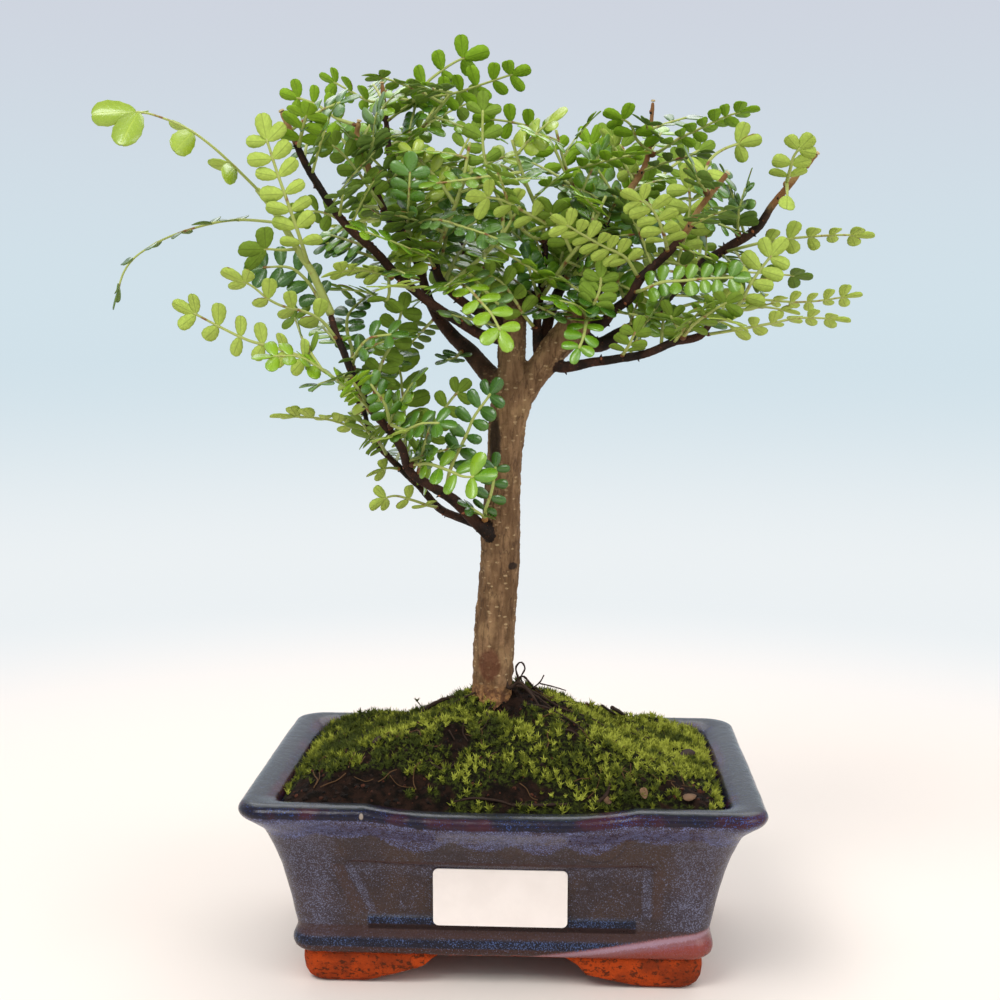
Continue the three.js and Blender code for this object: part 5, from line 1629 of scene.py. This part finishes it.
def mesh_plastic(settings):
    def build(paint):
        where, _ = mm(paint)
        grain = paint.noise(where, 1800, 3)
        paint.finish(paint.mix(grain, (0.012, 0.012, 0.012, 1), (0.05, 0.045, 0.04, 1)),
                     paint.band(grain, 0.2, 0.8, 0.45, 0.7), grain, 8e-05, 0.5)
    return material("black_mesh_plastic", settings, build)


def soil_finish(settings):
    def build(paint):
        where, _ = mm(paint)
        moss_here = paint.attribute("moss")
        fine = paint.noise(where, 900, 5, 0.7)
        mid = paint.noise(where, 330, 3)
        earth = paint.mix(paint.band(mid, 0.35, 0.65), "soil_color", "soil_dark")
        earth.lay(paint.band(fine, 0.6, 0.72, 0.0, 0.5), "soil_red")
        green = paint.mix(paint.band(fine, 0.42, 0.66), "soil_dark", "moss_dark")
        cover = paint.band(moss_here + mid * 0.9, 0.7, 1.2)
        paint.finish(paint.mix(cover, earth, green), None, fine + mid, 0.0012, 0.9)
    return material("dark_soil", settings, build, roughness=0.92, specular_ior_level=0.1)


# Grainy finishes by each copy's tone: two colours, the grain's scale and depth, the roughness, and a
# third colour for the palest copies.
TONED = {
    "moss": ("moss_dark", "moss_color", 420, 0.0002, 0.8, "moss_yellow"),
    "soil_crumb": ("soil_dark", "soil_color", 700, 0.0003, 0.9, "soil_red"),
    "dry_fibre": ("fibre_dark", "fibre_color", 300, 0.0001, 0.85, None),
    "fallen_leaflet": ("root_dark", "root_color", 200, 0.0002, 0.75, None),
    "moss_sprig": ("moss_dark", "moss_color", 300, 0.0001, 0.7, None),
    "root_bark": ("root_dark", "root_color", 500, 0.0003, 0.85, None),
    "prickle": ("twig_color", "scar_color", 400, 0.0001, 0.45, None),
    "bud_scar": ("scar_color", "twig_warm", 700, 0.0002, 0.7, None),
    "cut_wood": ("cut_color", "bark_pale", 900, 0.0002, 0.75, None),
    "leaf_bud": ("bud_dark", "bud_color", 900, 0.0003, 0.6, None),
}


def toned(name, settings):
    low, high, scale, depth, roughness, palest = TONED[name]

    def build(paint):
        where, _ = mm(paint)
        grain = paint.noise(where, scale, 4)
        share = paint.attribute("tone") + (grain - 0.5) * 1.2
        color = paint.mix(paint.band(share, 0.0, 1.0), low, high)
        if palest:
            color.lay(paint.band(share, 0.72, 0.92, 0.0, 0.8), palest)
        paint.finish(color, None, grain, depth, 0.7)
    return material(name, settings, build, roughness=roughness, specular_ior_level=0.2)


def bark(settings):
    def build(paint):
        where, (x, y, z) = mm(paint)
        radius = paint.attribute("girth")
        thick = paint.band(radius, 2.3, 4.6)
        fissures = paint.noise(where, 420, 5, 0.65, stretch=(1, 1, 0.22))
        grain = paint.noise(where, 1500, 4)
        patches = paint.noise(where, 130, 3)
        old = paint.mix(paint.band(fissures, 0.36, 0.64), "bark_dark", "bark_color")
        old.lay(paint.band(patches, 0.5, 0.66, 0.0, 0.45), "bark_pale")
        old.lay(paint.band(paint.noise(where, 210, 4), 0.54, 0.66, 0.0, 0.5), "bark_dark")
        crack = abs(paint.noise(where, 300, 3, stretch=(1, 1, 0.16)) - 0.5)
        old.lay(paint.band(crack, 0.004, 0.02, 0.6, 0.0), "bark_deep")
        old.lay(paint.band(paint.noise(where, 900, 3), 0.58, 0.7, 0.0, 0.45), "bark_dark")
        cells = paint.vector("MULTIPLY", where, (420, 420, 900))
        dots = paint.node("ShaderNodeTexVoronoi", {"Vector": cells, "Scale": 1.0})
        chance = paint.node("ShaderNodeSeparateColor", {"Color": dots.outputs["Color"]}).outputs["Red"]
        corky = paint.band(dots.outputs["Distance"], 0.2, 0.34, 1.0, 0.0) * paint.band(chance, 0.5, 0.55)
        old.lay(corky * paint.band(grain, 0.35, 0.6, 0.25, 0.75), "lenticel")
        young = paint.mix(paint.band(patches, 0.4, 0.62), "twig_color", "twig_warm")
        young.lay(paint.band(grain, 0.62, 0.72, 0.0, 0.5), "scar_color")
        tan = paint.attribute("tan")
        tan_tone = paint.mix(paint.band(patches, 0.35, 0.65), "tan_color", "tan_deep")
        young.lay(paint.band(tan + fissures * 0.3, 0.3, 1.1), tan_tone)
        color = paint.mix(thick, young, old)
        streak = paint.band(spot(paint, where, (494, 445, -6), (2.2, 6, 11)) + grain * 0.4, 0.9, 1.3, 0.85, 0.0)
        color.lay(streak, "bark_black")
        peeled = paint.band(spot(paint, where, (489, 665, -6), (3.8, 6, 5.4)) + fissures * 0.6, 1.0, 1.4, 0.8, 0.0)
        color.lay(peeled, "bark_red")
        foot = paint.band(z + patches * -9.0, 73.0, 80.0, 0.75, 0.0)
        rough_foot = paint.mix(paint.band(paint.noise(where, 700, 4), 0.42, 0.62), "bark_red", "foot_bark")
        color.lay(foot, rough_foot)
        knot = paint.band(spot(paint, where, (513, 566, -4), (1.5, 5, 1.2)) + fissures, 1.2, 1.6, 0.9, 0.0)
        color.lay(knot, "bark_black")
        paint.finish(color, paint.band(fissures, 0.3, 0.7, 0.86, 0.66), fissures * 1.6 + grain * 0.5, 0.0007, 0.75)
    return material("bark", settings, build, specular_ior_level=0.2)




def leaf_side(tint, settings, upper):
    """The upper side or the underside of a tint's leaves."""
    main = tint + ("_top" if upper else "_under")
    pale = tint + "_pale" if upper else main

    def build(paint):
        where, _ = mm(paint)
        uv = paint.node("ShaderNodeUVMap", uv_map="UVMap").outputs[0]
        along, across, _ = paint.parts(uv)
        tone = paint.attribute("tone")
        off_rib = abs(across - 0.5)
        cloud = paint.noise(where, 260, 3)
        share = tone + (cloud - 0.5) * 0.9
        color = paint.mix(paint.band(share, 0.1, 0.95), main, pale)
        slant = along - off_rib * 0.5
        waves = paint.math("SINE", slant * 44.0)
        veins = paint.band(waves, 0.8, 1.0)
        rib = paint.band(off_rib, 0.018, 0.05, 1.0, 0.0)
        mark = paint.math("MAXIMUM", rib, veins * 0.35)
        if upper:
            color.lay(mark * 0.55, pale)
        else:
            shade = rgb([0.5 * value for value in getattr(settings, main)])
            rim_shade = paint.band(off_rib, 0.4, 0.5) * 0.3
            color.lay(paint.math("MAXIMUM", mark * 0.6, rim_shade), shade)
            net = paint.band(paint.noise(where, 900, 3), 0.42, 0.6, 0.25, 0.0)
            color.lay(net, shade)
        margin = paint.band(off_rib, 0.42, 0.5)
        scorched = margin * paint.band(share + cloud, 1.5, 1.7)
        color.lay(scorched * 0.8, "scorch_color")
        height = mark * (-1.0 if upper else 1.0) + paint.noise(where, 900, 2) * 0.5
        paint.finish(color, paint.band(cloud, 0.2, 0.8, 0.22 if upper else 0.6, 0.36 if upper else 0.8), height,
                     0.00012, 0.5)
    extra = {"coat_weight": 0.45, "coat_roughness": 0.22} if upper else {"specular_ior_level": 0.2}
    return material("leaf_" + main, settings, build, **extra)


def stalk_finish(settings):
    def build(paint):
        where, _ = mm(paint)
        blush = paint.noise(where, 300, 3)
        color = paint.mix(paint.band(blush, 0.56, 0.7), "stalk_color", "stalk_blush")
        paint.finish(color, None, paint.noise(where, 1600, 3), 0.0001, 0.5)
    return material("leaf_stalk", settings, build, roughness=0.5, specular_ior_level=0.3)


def leaf_finishes(settings):
    """The upper side and the underside of each tint, and the stalks and buds that all share."""
    tints = {tint: [leaf_side(tint, settings, True), leaf_side(tint, settings, False)]
             for tint in ("young", "bright", "mid", "dark", "gloss")}
    return tints, [stalk_finish(settings), toned("leaf_bud", settings)]


# --- stage ---

def make_stage(settings):
    bm = bmesh.new()
    bmesh.ops.create_circle(bm, cap_ends=True, segments=96, radius=settings.floor_radius)
    floor = linked("floor", bm)

    made = bpy.data.materials.new("pale_floor")
    made.use_nodes = True
    made.node_tree.nodes.clear()
    paint = Paint(made.node_tree)
    where = paint.node("ShaderNodeTexCoord").outputs["Object"]
    far = paint.vector("LENGTH", where)
    near_color = paint.mix(paint.band(far, *FLOOR_COOLS), rgb(settings.floor_color), rgb(settings.floor_cool))
    lit = paint.node("ShaderNodeBsdfDiffuse", {"Color": near_color})
    # Rows of the picture are even in one over the distance from the camera.
    nearness = paint.math("DIVIDE", 1.0, far + CAMERA_DISTANCE)
    sweep = paint.mix(paint.band(nearness, 0.08, 0.8), rgb(settings.horizon_color), rgb(settings.floor_far))
    glow = paint.node("ShaderNodeEmission", {"Color": sweep, "Strength": 1.0})
    both = paint.node("ShaderNodeMixShader", {0: paint.band(far, *FLOOR_FADES)})
    paint.put(both.inputs[1], lit.outputs[0])
    paint.put(both.inputs[2], glow.outputs[0])
    out = paint.node("ShaderNodeOutputMaterial")
    paint.put(out.inputs["Surface"], both.outputs[0])
    floor.data.materials.append(made)

    bpy.context.scene.view_settings.view_transform = "Standard"
    world = bpy.data.worlds.new("soft_light")
    bpy.context.scene.world = world
    world.use_nodes = True
    tree = world.node_tree
    tree.nodes.clear()
    paint = Paint(tree)
    where = paint.node("ShaderNodeTexCoord").outputs["Generated"]
    height = paint.node("ShaderNodeSeparateXYZ", {0: where}).outputs["Z"]
    sky = paint.ramp(paint.band(height, 0.0, 0.25), (0.0, rgb(settings.horizon_color)),
                     (1.0, rgb(settings.sky_color)))
    shade = paint.node("ShaderNodeBackground", {"Color": sky, "Strength": settings.sky_strength})
    out = paint.node("ShaderNodeOutputWorld")
    paint.put(out.inputs["Surface"], shade.outputs[0])

    lights = (
        ("key_light", (-0.45, -0.65, 1.05), 0.6, 0.6, settings.key_power),
        ("fill_light", (0.9, -0.5, 0.6), 0.8, 0.6, settings.key_power * 0.5),
        ("back_light", (0.05, 0.8, 1.05), 1.4, 0.9, settings.key_power),
        ("front_strip", (0.05, -0.8, 0.75), 1.3, 0.1, settings.key_power * 0.12),
    )
    for name, place, width, height, power in lights:
        lamp = bpy.data.lights.new(name, "AREA")
        lamp.shape = "RECTANGLE"
        lamp.size = width
        lamp.size_y = height
        lamp.energy = power
        made = linked(name, lamp)
        made.location = place
        made.rotation_euler = (Vector((0, 0, 0.12)) - Vector(place)).to_track_quat("-Z", "Y").to_euler()


def make_camera(settings):
    data = bpy.data.cameras.new("front_view")
    camera = linked("front_view", data)
    data.sensor_width = SENSOR
    data.lens = VIEW_FOCAL / VIEW_PIXELS * SENSOR
    data.clip_start = 0.01
    data.clip_end = 50
    place = Matrix.Translation(INTO_FRAME @ VIEW_POINT)
    camera.matrix_world = place @ VIEW_TURN.to_4x4() @ Matrix.Rotation(radians(90), 4, "X")
    bpy.context.scene.camera = camera


# --- settings, operators and panel ---

def swatch(name, description, default):
    return FloatVectorProperty(name=name, description=description, default=default, size=3, min=0, max=1,
                               subtype="COLOR")


class BonsaiPotSettings(PropertyGroup):
    waviness: FloatProperty(name="Waviness", description="How uneven the hand-thrown walls are, in millimetres",
                            default=0.25, min=0, max=0.6)
    rim_color: swatch("Rim", "Dark purple of the rolled rim", (0.042, 0.009, 0.016))
    rim_dark: swatch("Rim shade", "Darkest glaze of the rim", (0.009, 0.007, 0.016))
    # Painted reflection: slate grey for the sky mirrored by the rim's flat top.
    rim_top_painted_reflection: swatch("Rim flat", "Slate glaze on the flat top of the rim", (0.022, 0.026, 0.028))
    rim_speck: swatch("Rim specks", "Cobalt specks in the rim", (0.03, 0.06, 0.2))
    drip_color: swatch("Drips", "Lavender blue glaze that has run from the rim", (0.05, 0.045, 0.08))
    drip_dark: swatch("Drip shade", "Darker parts of the drips", (0.042, 0.026, 0.036))
    body_color: swatch("Body", "Grey blue of the walls", (0.037, 0.0235, 0.0235))
    body_warm: swatch("Body warm", "Brownish grey of the walls", (0.053, 0.03, 0.0225))
    speck_color: swatch("Specks", "Fine blue specks", (0.13, 0.13, 0.19))
    band_color: swatch("Base band", "Navy of the base and the ledge", (0.006, 0.006, 0.014))
    band_dark: swatch("Base band shade", "Darkest navy", (0.008, 0.007, 0.014))
    line_color: swatch("Panel line", "Brown where the glaze broke on the panel's edge", (0.045, 0.018, 0.014))
    body_blue: swatch("Body blue", "Blue grey of the walls near the corners", (0.05, 0.042, 0.062))
    groove_color: swatch("Grooves", "Brown beside the panel's upright edges", (0.06, 0.032, 0.026))
    drip_speck: swatch("Drip specks", "Pale blue specks in the run glaze", (0.15, 0.17, 0.34))
    band_speck: swatch("Band specks", "Blue specks in the base band and the bar", (0.05, 0.08, 0.18))
    bar_red: swatch("Bar edge", "Dark red brown along the foot of the bar", (0.014, 0.003, 0.003))
    # Painted highlight: the pale lilac line along the upper edge of the streak.
    streak_painted_highlight: swatch("Streak edge", "Pale lilac edge of the streak", (0.42, 0.24, 0.28))
    chip_color: swatch("Chip", "Bare clay in the small chip in the rim", (0.3, 0.24, 0.19))
    streak_color: swatch("Streak", "Pinkish streak low on the front", (0.3, 0.11, 0.11))
    streak_deep: swatch("Streak shade", "Red brown part of the streak", (0.3, 0.055, 0.035))
    foot_color: swatch("Feet", "Bare orange clay", (0.38, 0.047, 0.005))
    foot_dark: swatch("Feet shade", "Darker clay", (0.19, 0.026, 0.005))
    foot_speck: swatch("Feet specks", "Dark grains in the clay", (0.05, 0.014, 0.005))
    label_color: swatch("Label", "White of the blank label", (0.92, 0.83, 0.76))
    label_shade: swatch("Label shade", "Slightly greyer paper", (0.88, 0.79, 0.72))


class BonsaiSoilSettings(PropertyGroup):
    moss_tufts: IntProperty(name="Moss tufts", description="Number of moss tufts", default=4700, min=0, max=5000)
    crumbs: IntProperty(name="Crumbs", description="Number of loose crumbs of soil", default=1500, min=0, max=3000)
    fibres: IntProperty(name="Fibres", description="Number of dry fibres lying about", default=150, min=0, max=600)
    soil_color: swatch("Soil", "Dark brown earth", (0.024, 0.0115, 0.007))
    soil_dark: swatch("Soil shade", "Wet, almost black earth", (0.006, 0.004, 0.0025))
    soil_red: swatch("Soil bits", "Reddish bits in the earth", (0.075, 0.022, 0.01))
    moss_color: swatch("Moss", "Bright green moss", (0.235, 0.255, 0.022))
    moss_dark: swatch("Moss shade", "Deep green moss", (0.05, 0.064, 0.008))
    moss_yellow: swatch("Moss tips", "Yellow green tips", (0.42, 0.44, 0.06))
    fibre_color: swatch("Fibres", "Tan dry fibres", (0.3, 0.17, 0.07))
    fibre_dark: swatch("Fibre shade", "Browner fibres", (0.1, 0.05, 0.02))
    root_color: swatch("Roots", "Grey brown roots", (0.2, 0.11, 0.055))
    root_dark: swatch("Root shade", "Darker roots", (0.03, 0.016, 0.01))


class BonsaiWoodSettings(PropertyGroup):
    bark_detail: FloatProperty(name="Bark detail", description="Size of the bark's facets in millimetres",
                               default=0.52, min=0.45, max=1.5)
    crack_depth: FloatProperty(name="Crack depth", description="Depth of the bark's cracks in millimetres",
                               default=0.5, min=0, max=1.5)
    bark_color: swatch("Bark", "Grey brown bark", (0.26, 0.145, 0.068))
    bark_dark: swatch("Bark cracks", "Dark cracks", (0.13, 0.068, 0.03))
    bark_pale: swatch("Bark pale", "Pale corky marks", (0.36, 0.22, 0.1))
    bark_deep: swatch("Bark lines", "Thin dark lines down the bark", (0.06, 0.03, 0.015))
    lenticel: swatch("Lenticels", "Pale corky dots across the bark", (0.5, 0.35, 0.18))
    foot_bark: swatch("Bark at the foot", "Orange brown rough bark at the foot", (0.42, 0.2, 0.07))
    bark_black: swatch("Old wood", "Blackened old wood", (0.02, 0.012, 0.008))
    bark_red: swatch("Peeled bark", "Red brown under the bark", (0.11, 0.036, 0.016))
    twig_color: swatch("Twigs", "Dark purple brown twigs", (0.014, 0.008, 0.005))
    twig_warm: swatch("Twig warm", "Lighter brown of the twigs", (0.05, 0.02, 0.011))
    scar_color: swatch("Bud scars", "Orange pink scars", (0.3, 0.1, 0.045))
    cut_color: swatch("Cut wood", "Pale cut ends", (0.5, 0.36, 0.18))
    tan_color: swatch("New wood", "Tan wood at the ends of the limbs", (0.33, 0.2, 0.075))
    tan_deep: swatch("New wood shade", "Orange brown parts of it", (0.2, 0.085, 0.03))


class BonsaiLeafSettings(PropertyGroup):
    node_spacing: FloatProperty(name="Node spacing", description="Millimetres between leaves along the limbs",
                                default=4.5, min=3, max=30)
    young_top: swatch("Young top", "Upper side of young leaves", (0.27, 0.38, 0.022))
    young_pale: swatch("Young pale", "Palest upper side of young leaves", (0.4, 0.5, 0.045))
    young_under: swatch("Young underside", "Underside of young leaves", (0.42, 0.53, 0.085))
    bright_top: swatch("Bright top", "Upper side of bright green leaves", (0.115, 0.265, 0.008))
    bright_pale: swatch("Bright pale", "Palest upper side of bright green leaves", (0.24, 0.4, 0.016))
    bright_under: swatch("Bright underside", "Underside of bright green leaves", (0.235, 0.395, 0.016))
    mid_top: swatch("Leaf top", "Upper side of grown leaves", (0.075, 0.19, 0.009))
    mid_pale: swatch("Leaf pale", "Palest upper side of grown leaves", (0.17, 0.31, 0.018))
    mid_under: swatch("Leaf underside", "Underside of grown leaves", (0.185, 0.285, 0.026))
    dark_top: swatch("Old top", "Upper side of old leaves", (0.038, 0.115, 0.008))
    dark_pale: swatch("Old pale", "Palest upper side of old leaves", (0.09, 0.21, 0.016))
    dark_under: swatch("Old underside", "Underside of old leaves", (0.12, 0.195, 0.022))
    gloss_top: swatch("Glossy top", "Upper side of glossy blue green leaves", (0.05, 0.135, 0.014))
    gloss_pale: swatch("Glossy pale", "Palest upper side of glossy leaves", (0.15, 0.27, 0.06))
    gloss_under: swatch("Glossy underside", "Underside of glossy leaves", (0.14, 0.22, 0.035))
    stalk_color: swatch("Stalks", "Light green ribs", (0.36, 0.4, 0.1))
    stalk_blush: swatch("Stalk blush", "Red brown marks on the ribs", (0.22, 0.08, 0.03))
    bud_color: swatch("Buds", "Brown orange buds", (0.3, 0.14, 0.04))
    bud_dark: swatch("Bud shade", "Dark scales of the buds", (0.08, 0.03, 0.015))
    scorch_color: swatch("Scorched edge", "Brown edges of old leaflets", (0.17, 0.06, 0.02))


class BonsaiStageSettings(PropertyGroup):
    floor_radius: FloatProperty(name="Floor radius", description="How far the pale floor reaches", default=8.0,
                                min=1, max=20, unit="LENGTH")
    floor_color: swatch("Floor", "Warm white floor near the pot", (0.78, 0.7, 0.62))
    floor_cool: swatch("Floor further off", "Cooler white a little further off", (0.74, 0.735, 0.72))
    floor_far: swatch("Far floor", "Pale blue of the far floor", (0.84, 0.88, 0.9))
    horizon_color: swatch("Horizon", "Where floor and sky meet", (0.64, 0.755, 0.82))
    sky_color: swatch("Sky", "Grey blue above", (0.62, 0.65, 0.73))
    sky_strength: FloatProperty(name="Sky strength", description="Brightness of the surroundings", default=1.0,
                                min=0, max=5)
    key_power: FloatProperty(name="Light power", description="Power of the main light in watts", default=8.6, min=0,
                             max=500, unit="POWER")


class BONSAI_OT_pot(Operator):
    """Makes the glazed pot, its clay feet, and the finishes of the label and the drain mesh"""

    bl_idname = "bonsai.pot"
    bl_label = "Pot"

    def execute(self, context):
        settings = context.scene.bonsai_pot
        make_pot(settings)
        make_feet(settings)
        make_small_parts(settings)
        return {"FINISHED"}


class BONSAI_OT_soil(Operator):
    """Makes the mound of soil"""

    bl_idname = "bonsai.soil"
    bl_label = "Soil"

    def execute(self, context):
        make_soil(context.scene.bonsai_soil)
        return {"FINISHED"}


class BONSAI_OT_ground_cover(Operator):
    """Grows moss on the mound and lays crumbs, roots and fibres on it"""

    bl_idname = "bonsai.ground_cover"
    bl_label = "Moss and litter"

    def execute(self, context):
        if not GROUND:
            raise RuntimeError("make the soil first")
        make_moss(context.scene.bonsai_soil)
        make_litter(context.scene.bonsai_soil)
        return {"FINISHED"}


class BONSAI_OT_wood(Operator):
    """Makes the trunk and the limbs with their bark, prickles and cut ends"""

    bl_idname = "bonsai.wood"
    bl_label = "Wood"

    def execute(self, context):
        settings = context.scene.bonsai_wood
        make_wood(settings)
        make_bark_details(settings)
        return {"FINISHED"}


class BONSAI_OT_leaves(Operator):
    """Makes every spray of leaves"""

    bl_idname = "bonsai.leaves"
    bl_label = "Leaves"

    def execute(self, context):
        if not WOOD:
            raise RuntimeError("make the wood first")
        make_leaves(context.scene.bonsai_leaves)
        return {"FINISHED"}


class BONSAI_OT_stage(Operator):
    """Sets the floor, the soft light and the front camera"""

    bl_idname = "bonsai.stage"
    bl_label = "Stage"

    def execute(self, context):
        settings = context.scene.bonsai_stage
        make_stage(settings)
        make_camera(settings)
        return {"FINISHED"}


STEPS = (
    ("bonsai_pot", BonsaiPotSettings, BONSAI_OT_pot),
    ("bonsai_soil", BonsaiSoilSettings, BONSAI_OT_soil),
    ("bonsai_soil", BonsaiSoilSettings, BONSAI_OT_ground_cover),
    ("bonsai_wood", BonsaiWoodSettings, BONSAI_OT_wood),
    ("bonsai_leaves", BonsaiLeafSettings, BONSAI_OT_leaves),
    ("bonsai_stage", BonsaiStageSettings, BONSAI_OT_stage),
)


class BONSAI_PT_panel(Panel):
    """Lists the pieces of the bonsai and their sizes and colours"""

    bl_idname = "BONSAI_PT_panel"
    bl_label = "Japanese Pepper Bonsai"
    bl_space_type = "VIEW_3D"
    bl_region_type = "UI"
    bl_category = "Bonsai"

    def draw(self, context):
        for key, settings, operator in STEPS:
            box = self.layout.box()
            box.operator(operator.bl_idname)
            for name in settings.__annotations__:
                box.prop(getattr(context.scene, key), name)


def register():
    for settings in dict.fromkeys(step[1] for step in STEPS):
        bpy.utils.register_class(settings)
    for key, settings, operator in STEPS:
        setattr(bpy.types.Scene, key, PointerProperty(type=settings))
        bpy.utils.register_class(operator)
    bpy.utils.register_class(BONSAI_PT_panel)


def unregister():
    bpy.utils.unregister_class(BONSAI_PT_panel)
    for key, _, operator in STEPS:
        bpy.utils.unregister_class(operator)
        if hasattr(bpy.types.Scene, key):
            delattr(bpy.types.Scene, key)
    for settings in dict.fromkeys(step[1] for step in STEPS):
        bpy.utils.unregister_class(settings)


def main():
    register()
    bpy.ops.bonsai.pot()
    bpy.ops.bonsai.soil()
    bpy.ops.bonsai.ground_cover()
    bpy.ops.bonsai.wood()
    bpy.ops.bonsai.leaves()
    bpy.ops.bonsai.stage()
    bpy.context.view_layer.update()
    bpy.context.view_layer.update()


if __name__ == "__main__":
    main()
